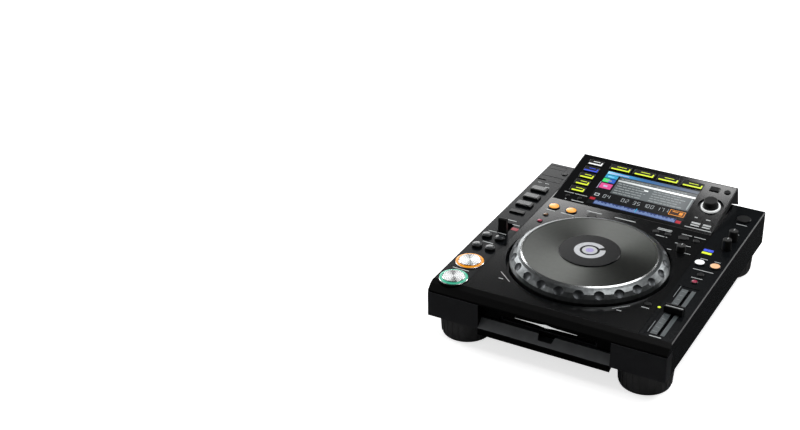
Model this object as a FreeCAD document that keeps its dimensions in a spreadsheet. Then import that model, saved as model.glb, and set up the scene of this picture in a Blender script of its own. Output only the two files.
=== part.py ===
"""Front slot-loading disc player with a jog wheel and a tilted display.

Origin: under the middle of the feet. X runs to the right, Y to the back, Z up.
"""
import FreeCAD, Part
import os
import Sketcher
from FreeCAD import Placement, Rotation, Vector

doc = FreeCAD.newDocument("disc_player")
sheet = doc.addObject("Spreadsheet::Sheet", "dims")

# driving sizes of the whole player, in millimetres, degrees and counts
DIMS = {
    # casing
    "case_width": 320.0,
    "deck_top": 78.5,
    "base_bottom": 31.0,
    "front_face": -203.0,
    "rear_face": 174.0,
    "bevel_start": -187.0,
    "bevel_middle": -195.0,
    "bevel_drop": 3.2,
    "bevel_bottom": 66.3,
    "bevel_lip": 2.2,
    "wall": 3.0,
    "seam_width": 0.8,
    "seam_depth": 0.6,
    "left_strip": 43.0,
    "right_strip": 43.5,
    "edge_chamfer": 1.2,
    "sheet_metal": 1.5,
    "tray_flange": 12.0,
    "fit_gap": 0.3,
    "slide_gap": 0.06,
    # front panel and disc slot
    "block_bottom": 31.0,
    "recess_half": 89.0,
    "jaw_face": -189.0,
    "panel_back": -185.0,
    "slot_half": 66.0,
    "slot_low": 42.5,
    "slot_high": 50.0,
    "lip_bottom": 23.2,
    "lip_edge": 32.5,
    "lip_rear": -192.0,
    "notch_x": 1.0,
    "notch_half": 13.0,
    "notch_inner": 9.0,
    "notch_front": -198.5,
    "notch_rear": -186.5,
    "notch_floor": 36.5,
    "panel_wall": 3.0,
    # disc drive
    "drive_half": 73.0,
    "drive_depth": 136.0,
    "drive_bottom": 35.0,
    "drive_top": 58.0,
    "bay_half": 63.0,
    "bay_depth": 126.0,
    "bay_low": 43.4,
    "bay_high": 49.4,
    "post_radius": 6.0,
    "post_inset": 10.0,
    # feet
    "foot_radius": 34.5,
    "foot_edge": 2.5,
    "foot_taper": 2.0,
    "foot_inset": 37.7,
    "foot_front": -165.9,
    "foot_rear": 139.0,
    # jog wheel
    "jog_y": -61.3,
    "ring_moat": 4.4,
    "well_floor": 70.0,
    "well_base": 2.0,
    "ring_radius": 103.1,
    "ring_skirt": 72.0,
    "ring_shoulder": 80.0,
    "ring_crest": 94.8,
    "ring_slope": 14.5,
    "ring_wall": 3.0,
    "crest_land": 3.4,
    "plate_top": 95.6,
    "plate_thick": 2.0,
    "rim_gap": 0.4,
    "ledge_width": 2.7,
    "web_top": 88.0,
    "web_thick": 3.0,
    "running_gap": 0.3,
    "hub_radius": 20.0,
    "hub_bottom": 74.0,
    "spindle_radius": 14.0,
    "spindle_foot": 26.0,
    "spindle_foot_thick": 3.7,
    "disc_radius": 39.8,
    "disc_top": 96.6,
    "disc_thick": 3.2,
    "dimple_count": 24,
    "dimple_sphere": 14.0,
    "dimple_out": 17.7,
    "dimple_up": 3.3,
    # display
    "display_front": 78.2,
    "display_foot": 78.0,
    "display_tilt": 9.5,
    "display_half": 114.4,
    "display_length": 113.0,
    "display_slab": 9.5,
    "display_rest": 61.5,
    "display_skirt": 70.0,
    "tail_back": 199.0,
    "tail_low": 66.5,
    "tail_start": 88.0,
    "tail_inner_back": 193.4,
    "tail_inner_low": 73.8,
    "neck_half": 106.0,
    "neck_back": 166.0,
    "neck_skin": 2.0,
    "glass_thick": 2.0,
    "glass_rim": 1.2,
    "display_wall": 4.4,
    "display_cavity": 7.3,
    "skirt_wall": 2.5,
    "lcd_x": 1.0,
    "lcd_up": 47.5,
    "lcd_wide": 138.0,
    "lcd_tall": 81.0,
    "lcd_thick": 5.0,
    "lcd_window_depth": 0.3,
    "dial_well_radius": 17.5,
    "dial_well_depth": 3.0,
    # buttons in general
    "stop_gap": 0.3,
    "collar": 1.2,
    "collar_thick": 1.0,
    "key_round": 1.5,
    "cap_chamfer": 0.6,
    "deck_stem": 3.0,
    "display_stem": 1.6,
    # the two large buttons, each in a sunk cup with a lit ring round its cap
    "cup_wall": 1.2,
    "cup_depth": 5.0,
    "cup_floor": 2.5,
    "cap_skirt": 3.0,
    "cap_radius": 14.5,
    "ring_rise": 1.0,
    "pillar": 6.0,
    # knobs
    "knob_lift": 0.4,
    "knob_shaft": 3.0,
    "knob_shaft_length": 9.0,
    "knob_taper": 0.6,
    "pointer_width": 1.2,
    # selector dial
    "dial_x": 93.0,
    "dial_up": 62.0,
    "dial_radius": 9.5,
    "dial_rise": 9.5,
    "dial_skirt": 10.6,
    "dial_skirt_rise": 1.2,
    "dial_lift": 1.4,
    "dial_shaft": 3.0,
    "dial_shaft_top": 7.0,
    "dial_boss": 18.5,
    # tempo slider
    "slider_x": 21.8,
    "slider_y": -123.5,
    "slider_travel": 50.0,
    "slider_wide": 24.0,
    "slider_deep": 11.0,
    "slider_rise": 9.0,
    "slider_lift": 0.9,
    "slider_waist": 2.4,
    "stem_wide": 1.8,
    "stem_deep": 9.0,
    "slot_gap": 0.4,
    "slider_foot": 6.0,
    "slider_foot_thick": 2.0,
    "scale_wide": 27.0,
    "scale_long": 124.0,
    "scale_depth": 0.5,
    "scale_shift": -3.2,
    # direction lever
    "lever_x": 26.0,
    "lever_y": -39.5,
    "lever_wide": 12.0,
    "lever_deep": 6.0,
    "lever_rise": 20.0,
    "lever_pivot_drop": 14.0,
    "lever_heel": 3.0,
    "axle_radius": 2.0,
    "axle_reach": 2.0,
    "lever_well_front": -44.0,
    "lever_well_back": -16.0,
    "lever_side_gap": 1.0,
    "lever_well_floor": 60.0,
    # flaps over the two ports
    "flap_thick": 3.0,
    "flap_proud": 0.2,
    "flap_pin": 0.7,
    "flap_pin_reach": 1.2,
    "usb_x": 16.5,
    "usb_y": 163.0,
    "usb_wide": 24.0,
    "usb_deep": 10.0,
    "usb_bay_depth": 4.2,
    "usb_port_wide": 12.6,
    "usb_port_deep": 5.0,
    "usb_port_depth": 12.0,
    "card_x": 20.5,
    "card_y": 127.0,
    "card_wide": 33.0,
    "card_deep": 15.0,
    "card_bay_depth": 8.0,
    "card_slot_wide": 25.0,
    "card_slot_deep": 2.6,
    "card_slot_depth": 16.0,
    "card_notch_wide": 12.0,
    "card_notch_deep": 2.5,
    "port_wall": 2.0,
    # rear sockets
    "board_back": 167.0,
    "board_thick": 1.6,
    "board_low": 36.0,
    "board_high": 63.0,
    "board_left": -129.0,
    "board_right": 124.0,
    "socket_height": 52.0,
    "rca_radius": 4.15,
    "rca_length": 9.0,
    "rca_collar": 0.45,
    "rca_bore": 1.65,
    "rca_body": 12.0,
    "rca_left_x": 112.0,
    "rca_right_x": 94.0,
    "digital_x": 68.0,
    "control_x": 46.0,
    "control_radius": 3.9,
    "control_length": 2.5,
    "control_bore": 1.75,
    "usb_b_x": 18.0,
    "usb_b_wide": 12.0,
    "usb_b_tall": 11.0,
    "usb_b_wall": 0.8,
    "link_x": -14.0,
    "link_wide": 16.0,
    "link_tall": 13.5,
    "link_wall": 1.6,
    "socket_proud": 1.0,
    "inlet_x": -114.0,
    "inlet_wide": 28.0,
    "inlet_tall": 20.0,
    "inlet_wall": 2.0,
    "blade_wide": 1.8,
    "blade_tall": 4.0,
    "blade_spacing": 6.4,
    "power_x": -86.0,
    "power_wide": 13.0,
    "power_tall": 9.0,
    "power_rise": 3.0,
    "power_stem": 2.5,
    "power_stem_length": 2.4,
}

# The controls on the two outer strips keep their distance from that side of the casing,
# and the others from the middle: place across, place along, size and rise.
LEFT_STRIP = (
    "track_back_button", "track_forward_button", "search_back_button", "search_forward_button",
    "usb_stop_button", "cue_button", "play_button", "hot_key_1", "hot_key_2", "hot_key_3",
    "hot_key_mode", "lever", "usb", "card")
RIGHT_STRIP = (
    "jog_mode_button", "sync_button", "master_button", "tempo_range_button",
    "master_tempo_button", "brake_knob", "release_knob", "slider")
ROUND_BUTTONS = {
    "track_back_button": (13.0, -61.5, 7.0, 3.5),
    "track_forward_button": (32.0, -61.5, 7.0, 3.5),
    "search_back_button": (13.0, -90.5, 7.0, 3.5),
    "search_forward_button": (32.0, -90.5, 7.0, 3.5),
    "loop_in_button": (-101.0, 53.5, 8.0, 1.6),
    "loop_out_button": (-75.3, 53.2, 8.0, 1.6),
    "reloop_button": (-45.0, 54.0, 6.8, 1.6),
    "slip_button": (-102.0, 28.0, 4.0, 1.2),
    "quantize_button": (-102.0, 8.5, 4.0, 1.2),
    "call_back_button": (47.0, 54.0, 4.2, 1.2),
    "call_forward_button": (64.2, 54.0, 4.2, 1.2),
    "delete_button": (85.6, 54.6, 6.5, 1.4),
    "memory_button": (103.6, 54.0, 4.2, 1.2),
    "usb_stop_button": (32.5, 149.0, 4.2, 1.2),
    "jog_mode_button": (19.5, 139.0, 9.5, 2.2),
    "sync_button": (33.7, 2.5, 7.0, 1.8),
    "master_button": (13.0, 2.2, 7.0, 1.8),
    "tempo_range_button": (23.0, -24.5, 4.5, 1.4),
    "master_tempo_button": (23.8, -45.0, 4.5, 1.4),
    "tempo_reset_button": (103.0, -120.0, 4.5, 1.4),
}
DEEP_BUTTONS = {
    "cue_button": (22.8, -130.8, 18.7, 3.0),
    "play_button": (22.8, -176.0, 18.7, 3.0),
}
DECK_KEYS = {
    "hot_key_1": (20.5, 88.5, 23.0, 13.0, 3.2),
    "hot_key_2": (20.5, 64.0, 23.0, 13.0, 3.2),
    "hot_key_3": (20.5, 39.5, 23.0, 13.0, 3.2),
    "hot_key_mode": (20.5, 16.0, 21.0, 8.0, 2.4),
}
DISPLAY_KEYS = {
    "source_button_1": (-90.0, 97.0, 22.0, 13.5, 1.4),
    "source_button_2": (-90.0, 80.5, 22.0, 13.5, 1.4),
    "source_button_3": (-90.0, 64.0, 22.0, 13.5, 1.4),
    "source_button_4": (-90.0, 47.5, 22.0, 13.5, 1.4),
    "source_button_5": (-90.0, 31.0, 22.0, 13.5, 1.4),
    "browse_button_1": (-52.5, 97.0, 31.0, 13.5, 1.4),
    "browse_button_2": (-17.0, 97.0, 31.0, 13.5, 1.4),
    "browse_button_3": (18.5, 97.0, 31.0, 13.5, 1.4),
    "browse_button_4": (54.0, 97.0, 31.0, 13.5, 1.4),
    "back_button": (86.0, 98.5, 14.0, 10.0, 1.4),
}
DISPLAY_ROUND = {
    "tag_button": (104.2, 98.0, 4.4, 1.4),
    "time_mode_button": (-97.0, 12.5, 3.0, 1.0),
    "auto_cue_button": (-79.0, 12.5, 3.0, 1.0),
}
KNOBS = {
    "brake_knob": (15.0, 79.0, 6.5, 15.0),
    "release_knob": (15.0, 53.0, 6.5, 15.0),
    "jog_adjust_knob": (94.0, 22.0, 6.5, 8.5),
}
ROUND = {**ROUND_BUTTONS, **DEEP_BUTTONS, **DISPLAY_ROUND, **KNOBS}
for name, (x, y, radius, rise) in ROUND.items():
    DIMS.update({f"{name}_x": x, f"{name}_y": y, f"{name}_radius": radius, f"{name}_rise": rise})
for name, (x, y, wide, deep, rise) in {**DECK_KEYS, **DISPLAY_KEYS}.items():
    DIMS.update({f"{name}_x": x, f"{name}_y": y, f"{name}_wide": wide, f"{name}_deep": deep,
                 f"{name}_rise": rise})
for row, (alias, value) in enumerate(DIMS.items(), 1):
    sheet.set(f"A{row}", alias.replace("_", " "))
    sheet.set(f"B{row}", str(value))
    sheet.setAlias(f"B{row}", alias)
doc.recompute()


def size(expression):
    """Number that an expression on the sheet gives."""
    return float(sheet.evalExpression(expression))


TIES = {
    "left_seam": "(left_strip - case_width / 2)",
    "right_seam": "(case_width / 2 - right_strip)",
    "foot_x": "(case_width / 2 - foot_inset)",
    "well_radius": "(ring_radius + ring_moat)",
    "crest_radius": "(ring_radius - ring_slope)",
    "plate_radius": "(ring_radius - ring_slope - crest_land)",
    "ring_ledge": "(ring_radius - ring_slope - crest_land - ledge_width)",
    "jog_rim": "(disc_radius + rim_gap)",
}
for name in LEFT_STRIP:
    TIES[f"{name}_middle"] = f"({name}_x - case_width / 2)"
for name in RIGHT_STRIP:
    TIES[f"{name}_middle"] = f"(case_width / 2 - {name}_x)"


def named(text):
    """Writes alias names out as sheet references, and tied names as what they are tied to."""
    words = []
    word = ""
    for letter in text + " ":
        if letter.isalnum() or letter in "_.":
            word += letter
            continue
        if word in TIES:
            words.append(named(TIES[word]))
        elif word and sheet.getCellFromAlias(word):
            words.append(f"dims.{word}")
        else:
            words.append(word)
        words.append(letter)
        word = ""
    return "".join(words).strip()


def across(name):
    """Name of a control's middle line, tied to its side of the casing on the outer strips."""
    return f"{name}_middle" if name in LEFT_STRIP + RIGHT_STRIP else f"{name}_x"


def new_body(label):
    body = doc.addObject("PartDesign::Body", label)
    body.Label = label
    return body


def new_sketch(body, role, offset=None):
    """Adds a sketch on one of the body's own origin planes, lifted along its normal."""
    plane = [feature for feature in body.Origin.OriginFeatures if feature.Role == role][0]
    sketch = body.newObject("Sketcher::SketchObject", f"{body.Label}_sketch")
    sketch.AttachmentSupport = [(plane, "")]
    sketch.MapMode = "FlatFace"
    if offset:
        sketch.setExpression("AttachmentOffset.Base.z", named(offset))
    return sketch


def tie(sketch, kind, places, text):
    """Adds a dimension that follows an expression."""
    expression = named(text)
    index = sketch.addConstraint(Sketcher.Constraint(kind, *places, size(expression)))
    sketch.setExpression(f"Constraints[{index}]", expression)


def polygon(sketch, corners):
    """Closed outline whose corners are pairs of expressions."""
    points = [Vector(size(named(across)), size(named(up)), 0) for across, up in corners]
    first = sketch.GeometryCount
    count = len(points)
    for index in range(count):
        sketch.addGeometry(Part.LineSegment(points[index], points[(index + 1) % count]))
    for index in range(count):
        following = first + (index + 1) % count
        sketch.addConstraint(Sketcher.Constraint("Coincident", first + index, 2, following, 1))
    for index, (across, up) in enumerate(corners):
        tie(sketch, "DistanceX", (-1, 1, first + index, 1), across)
        tie(sketch, "DistanceY", (-1, 1, first + index, 1), up)


def rectangle(sketch, x, y, wide, deep):
    """Rectangle about a middle point, all four given as expressions."""
    left, right = f"{x} - ({wide}) / 2", f"{x} + ({wide}) / 2"
    low, high = f"{y} - ({deep}) / 2", f"{y} + ({deep}) / 2"
    polygon(sketch, [(left, low), (right, low), (right, high), (left, high)])


def circle(sketch, x, y, radius):
    middle = Vector(size(named(x)), size(named(y)), 0)
    index = sketch.addGeometry(Part.Circle(middle, Vector(0, 0, 1), size(named(radius))))
    tie(sketch, "Radius", (index,), radius)
    tie(sketch, "DistanceX", (-1, 1, index, 3), x)
    tie(sketch, "DistanceY", (-1, 1, index, 3), y)


def extrude(body, kind, sketch, length, midplane=False, reverse=False):
    """Pad or pocket of a sketch."""
    feature = body.newObject(f"PartDesign::{kind}", f"{body.Label}_{kind.lower()}")
    feature.Profile = sketch
    feature.setExpression("Length", named(length))
    feature.Midplane = midplane
    feature.Reversed = reverse
    sketch.Visibility = False
    doc.recompute()
    return feature


def turn(body, corners, kind="Revolution"):
    """Turned shape about the body's own Z axis, from (radius, height) corners."""
    sketch = new_sketch(body, "XZ_Plane")
    polygon(sketch, corners)
    feature = body.newObject(f"PartDesign::{kind}", f"{body.Label}_turned")
    feature.Profile = sketch
    feature.ReferenceAxis = (sketch, ["V_Axis"])
    feature.Angle = 360
    doc.recompute()
    return feature


def side_pad(body, corners, width, kind="Pad"):
    """Pad or pocket of an outline seen from the side, as wide as given, about the middle."""
    sketch = new_sketch(body, "YZ_Plane")
    polygon(sketch, corners)
    return extrude(body, kind, sketch, width, midplane=True)


def dress(body, kind, edges, amount):
    """Fillet or chamfer on the edges of the body's last feature that a test picks."""
    base = body.Tip
    names = [f"Edge{index + 1}" for index, edge in enumerate(base.Shape.Edges) if edges(edge)]
    feature = body.newObject(f"PartDesign::{kind}", f"{body.Label}_{kind.lower()}")
    feature.Base = (base, names)
    feature.setExpression("Radius" if kind == "Fillet" else "Size", named(amount))
    doc.recompute()
    return feature


def is_upright(edge):
    """True for straight edges along Z."""
    direction = edge.Vertexes[-1].Point - edge.Vertexes[0].Point
    return direction.Length > 0.5 and abs(direction.normalize().z) > 0.999


def level_at(height):
    """Test for edges that lie level at a height."""
    return lambda edge: all(abs(vertex.Z - height) < 1e-4 for vertex in edge.Vertexes)


def set_down(body, x, y, z="deck_top"):
    """Places a body on the deck by its own expressions."""
    for axis, text in zip("xyz", (x, y, z)):
        body.setExpression(f"Placement.Base.{axis}", named(text))


COS = "cos(display_tilt * 1 deg)"
SIN = "sin(display_tilt * 1 deg)"


def on_slope(along, above):
    """Side-view place of a point on the tilted display: distance up the slope and off its face."""
    y = f"display_front + ({along}) * {COS} - ({above}) * {SIN}"
    z = f"display_foot + ({along}) * {SIN} + ({above}) * {COS}"
    return y, z


def set_on_slope(body, x, along):
    """Places a body on the display's face, tilted with it."""
    y, z = on_slope(along, "0")
    body.Placement = Placement(Vector(), Rotation(Vector(1, 0, 0), size("dims.display_tilt")))
    body.setExpression("Placement.Rotation.Angle", named("display_tilt * 1 deg"))
    set_down(body, x, y, z)


def slope_sketch(body, above):
    """Sketch on the display's tilted face, moved along the face's normal."""
    y, z = on_slope("0", above)
    sketch = new_sketch(body, "XY_Plane")
    tilt = Rotation(Vector(1, 0, 0), size("dims.display_tilt"))
    sketch.AttachmentOffset = Placement(Vector(), tilt)
    sketch.setExpression("AttachmentOffset.Rotation.Angle", named("display_tilt * 1 deg"))
    sketch.setExpression("AttachmentOffset.Base.y", named(y))
    sketch.setExpression("AttachmentOffset.Base.z", named(z))
    return sketch


def deck_openings(sketch):
    """Holes in the deck that the buttons, keys and knobs pass through."""
    for name in ROUND_BUTTONS:
        circle(sketch, across(name), f"{name}_y", f"{name}_radius + fit_gap")
    for name in DECK_KEYS:
        rectangle(sketch, across(name), f"{name}_y", f"{name}_wide + 2 * fit_gap",
                  f"{name}_deep + 2 * fit_gap")
    for name in KNOBS:
        circle(sketch, across(name), f"{name}_y", "knob_shaft + fit_gap")
    rectangle(sketch, "slider_middle", "slider_y", "stem_wide + 2 * slot_gap",
              "2 * slider_travel + stem_deep + 2 * slot_gap")


def display_opening(sketch):
    """Opening in the deck that the display's skirt and neck drop into."""
    rest = on_slope("display_rest", "-display_slab")[0]
    front, back = "display_front - fit_gap", "neck_back + fit_gap"
    step = f"{rest} + fit_gap"
    wide, narrow = "display_half + fit_gap", "neck_half + fit_gap"
    polygon(sketch, [(f"-({wide})", front), (wide, front), (wide, step), (narrow, step),
                     (narrow, back), (f"-({narrow})", back), (f"-({narrow})", step),
                     (f"-({wide})", step)])


def hanging_box(body, x, y, wide, deep, bottom):
    """Boss under the deck, down to a height."""
    sketch = new_sketch(body, "XY_Plane", bottom)
    rectangle(sketch, x, y, wide, deep)
    extrude(body, "Pad", sketch, f"deck_top - wall / 2 - ({bottom})")


def sunk_box(body, x, y, wide, deep, top, depth):
    """Rectangular pocket that starts at a height and goes down."""
    sketch = new_sketch(body, "XY_Plane", top)
    rectangle(sketch, x, y, wide, deep)
    extrude(body, "Pocket", sketch, depth)


def pin_holes(body, x, y, z, radius, half_length):
    """Round cross hole for a hinge pin or axle, along X."""
    sketch = new_sketch(body, "YZ_Plane", x)
    circle(sketch, y, z, radius)
    extrude(body, "Pocket", sketch, f"2 * ({half_length})", midplane=True)


def hinge_place(name):
    """Place of a flap's hinge line: just in front of its rear edge, half its thickness down."""
    return f"{name}_y + {name}_deep / 2 - flap_thick / 2", "deck_top + flap_proud - flap_thick / 2"


def port_bay(body, name, bottom):
    """Boss, pocket and hinge holes of a flap over a port."""
    wide = f"{name}_wide + 2 * fit_gap"
    deep = f"{name}_deep + 2 * fit_gap"
    hanging_box(body, across(name), f"{name}_y", f"{wide} + 2 * port_wall",
                f"{deep} + 2 * port_wall", bottom)
    sunk_box(body, across(name), f"{name}_y", wide, deep, "deck_top", f"{name}_bay_depth")
    y, z = hinge_place(name)
    pin_holes(body, across(name), y, z, "flap_pin + slide_gap",
              f"{name}_wide / 2 + fit_gap + flap_pin_reach")


def cup_for(body, name):
    """Sunk cup that one of the two large buttons stands in, with a hole for its pillar."""
    sketch = new_sketch(body, "XY_Plane", "deck_top - cup_depth - cup_floor")
    circle(sketch, across(name), f"{name}_y", f"{name}_radius + fit_gap + cup_wall")
    extrude(body, "Pad", sketch, "cup_depth + cup_floor")
    sketch = new_sketch(body, "XY_Plane", "deck_top")
    circle(sketch, across(name), f"{name}_y", f"{name}_radius + fit_gap")
    extrude(body, "Pocket", sketch, "cup_depth")
    sketch = new_sketch(body, "XY_Plane", "deck_top")
    circle(sketch, across(name), f"{name}_y", "pillar + fit_gap")
    extrude(body, "Pocket", sketch, "cup_depth + cup_floor + 1")


def make_top_case():
    """Moulded deck with its bevel, side walls, jog well, port bays and lever well."""
    body = new_body("top_case")
    side_pad(body, [
        ("panel_back + fit_gap", "base_bottom"), ("panel_back + fit_gap", "bevel_bottom"),
        ("front_face + 0.5", "bevel_bottom"), ("front_face + 0.5", "bevel_bottom + bevel_lip"),
        ("bevel_middle", "deck_top - bevel_drop"), ("bevel_start", "deck_top"),
        ("rear_face", "deck_top"), ("rear_face", "base_bottom")], "case_width")
    side_pad(body, [
        ("panel_back - 1", "base_bottom - 1"), ("panel_back - 1", "bevel_bottom"),
        ("bevel_middle + wall", "deck_top - bevel_drop - wall"),
        ("bevel_start + wall", "deck_top - wall"), ("rear_face + 1", "deck_top - wall"),
        ("rear_face + 1", "base_bottom - 1")], "case_width - 2 * wall", "Pocket")
    for name in DEEP_BUTTONS:
        cup_for(body, name)
    sketch = new_sketch(body, "XY_Plane", "well_floor - well_base")
    circle(sketch, "0", "jog_y", "well_radius + wall")
    extrude(body, "Pad", sketch, "deck_top - wall / 2 - well_floor + well_base")
    sketch = new_sketch(body, "XY_Plane", "deck_top")
    circle(sketch, "0", "jog_y", "well_radius")
    extrude(body, "Pocket", sketch, "deck_top - well_floor")
    port_bay(body, "usb", "deck_top - usb_bay_depth - usb_port_depth - port_wall")
    sunk_box(body, "usb_middle", "usb_y", "usb_port_wide", "usb_port_deep",
             "deck_top - usb_bay_depth", "usb_port_depth")
    port_bay(body, "card", "deck_top - card_bay_depth - card_slot_depth - port_wall")
    sunk_box(body, "card_middle", "card_y", "card_slot_wide", "card_slot_deep",
             "deck_top - card_bay_depth", "card_slot_depth")
    lever_middle = "(lever_well_front + lever_well_back) / 2"
    lever_long = "lever_well_back - lever_well_front"
    hanging_box(body, "lever_middle", lever_middle,
                "lever_wide + 2 * lever_side_gap + 2 * axle_reach + 2 * port_wall",
                f"{lever_long} + 2 * port_wall", "lever_well_floor - port_wall")
    sunk_box(body, "lever_middle", lever_middle, "lever_wide + 2 * lever_side_gap", lever_long,
             "deck_top", "deck_top - lever_well_floor")
    pin_holes(body, "lever_middle", "lever_y", "deck_top - lever_pivot_drop",
              "axle_radius + slide_gap", "lever_wide / 2 + lever_side_gap + axle_reach")
    sketch = new_sketch(body, "XY_Plane", "deck_top")
    deck_openings(sketch)
    display_opening(sketch)
    extrude(body, "Pocket", sketch, "wall + 1")
    sketch = new_sketch(body, "XY_Plane", "deck_top")
    seam_long = "rear_face - bevel_start"
    seam_y = "(rear_face + bevel_start) / 2"
    rectangle(sketch, "left_seam", seam_y, "seam_width", seam_long)
    rectangle(sketch, "right_seam", seam_y, "seam_width", seam_long)
    extrude(body, "Pocket", sketch, "seam_depth")
    sunk_box(body, "slider_middle + scale_shift", "slider_y + 1.5", "scale_wide", "scale_long",
             "deck_top", "scale_depth")
    half, top = size("dims.case_width / 2"), size("dims.deck_top")
    dress(body, "Chamfer", lambda edge: level_at(top)(edge) and edge.Length > 100
          and all(abs(abs(vertex.X) - half) < 1e-4 for vertex in edge.Vertexes), "edge_chamfer")
    return body



def make_chassis():
    """Folded steel tray: floor, rear wall and side flanges, with the openings of the sockets."""
    body = new_body("bottom_chassis")
    half = "(case_width / 2 - wall - fit_gap)"
    side_pad(body, [
        ("panel_back + fit_gap", "base_bottom"), ("panel_back + fit_gap", "base_bottom + 3"),
        ("panel_back + fit_gap + sheet_metal", "base_bottom + 3"),
        ("panel_back + fit_gap + sheet_metal", "base_bottom + sheet_metal"),
        ("rear_face - sheet_metal", "base_bottom + sheet_metal"),
        ("rear_face - sheet_metal", "deck_top - wall - fit_gap"),
        ("rear_face", "deck_top - wall - fit_gap"), ("rear_face", "base_bottom")],
        f"2 * {half}")
    sketch = new_sketch(body, "XY_Plane", "base_bottom")
    middle = "(rear_face + panel_back + fit_gap) / 2"
    long = "rear_face - panel_back - fit_gap"
    for sign in ("", "-"):
        rectangle(sketch, f"{sign}({half} - sheet_metal / 2)", middle, "sheet_metal", long)
    extrude(body, "Pad", sketch, "tray_flange")
    sketch = new_sketch(body, "XZ_Plane", "sheet_metal + 1 - rear_face")
    for name in ("rca_left", "rca_right", "digital"):
        circle(sketch, across(name), "socket_height", "rca_radius + rca_collar + fit_gap")
    circle(sketch, "control_x", "socket_height", "control_radius + fit_gap")
    for name in ("usb_b", "link", "inlet", "power"):
        rectangle(sketch, across(name), "socket_height", f"{name}_wide + 2 * fit_gap",
                  f"{name}_tall + 2 * fit_gap")
    extrude(body, "Pocket", sketch, "sheet_metal + 2")


def make_front_panel():
    """Front moulding: two blocks, the jaw over the disc slot and the sloping lip under it."""
    body = new_body("front_panel")
    side_pad(body, [
        ("panel_back", "block_bottom"), ("front_face", "block_bottom"),
        ("front_face", "bevel_bottom - fit_gap"), ("panel_back", "bevel_bottom - fit_gap")],
        "case_width")
    sketch = new_sketch(body, "XY_Plane", "bevel_bottom")
    rectangle(sketch, "0", "(jaw_face + front_face - 2) / 2", "2 * recess_half",
              "jaw_face - front_face + 2")
    extrude(body, "Pocket", sketch, "bevel_bottom - block_bottom + 1")
    side_pad(body, [
        ("panel_back", "block_bottom"), ("front_face", "lip_bottom"),
        ("front_face", "lip_edge"), ("lip_rear", "slot_low"), ("panel_back", "slot_low")],
        "2 * recess_half")
    sketch = new_sketch(body, "XZ_Plane", "-lip_rear")
    rectangle(sketch, "0", "(slot_low + slot_high) / 2", "2 * slot_half", "slot_high - slot_low")
    extrude(body, "Pocket", sketch, "panel_back - lip_rear + 1")
    sketch = new_sketch(body, "XY_Plane", "slot_low + 0.5")
    polygon(sketch, [
        ("notch_x - notch_inner", "notch_front"), ("notch_x + notch_inner", "notch_front"),
        ("notch_x + notch_half", "notch_rear"), ("notch_x - notch_half", "notch_rear")])
    extrude(body, "Pocket", sketch, "slot_low + 0.5 - notch_floor")
    sketch = new_sketch(body, "XZ_Plane", "-panel_back")
    inner = "(case_width / 2 - recess_half - 2 * panel_wall)"
    for sign in ("", "-"):
        rectangle(sketch, f"{sign}(recess_half + case_width / 2) / 2",
                  "(block_bottom + bevel_bottom - fit_gap) / 2", inner,
                  "bevel_bottom - fit_gap - block_bottom - 2 * panel_wall")
    extrude(body, "Pocket", sketch, "panel_back - front_face - panel_wall", reverse=True)


def make_feet():
    """Four round rubber feet, each a tapered pad."""
    pieces = []
    for x in ("-foot_x", "foot_x"):
        for y in ("foot_front", "foot_rear"):
            edge = doc.addObject("Part::Cone", "foot_edge")
            edge.setExpression("Radius1", named("foot_radius - foot_edge"))
            edge.setExpression("Radius2", named("foot_radius - foot_taper"))
            edge.setExpression("Height", named("foot_edge"))
            pad = doc.addObject("Part::Cone", "foot_pad")
            pad.setExpression("Radius1", named("foot_radius - foot_taper"))
            pad.setExpression("Radius2", named("foot_radius"))
            pad.setExpression("Height", named("base_bottom - foot_edge"))
            set_down(edge, x, y, "0")
            set_down(pad, x, y, "foot_edge")
            pieces += [edge, pad]
    feet = doc.addObject("Part::MultiFuse", "feet")
    feet.Label = "feet"
    feet.Shapes = pieces


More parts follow.
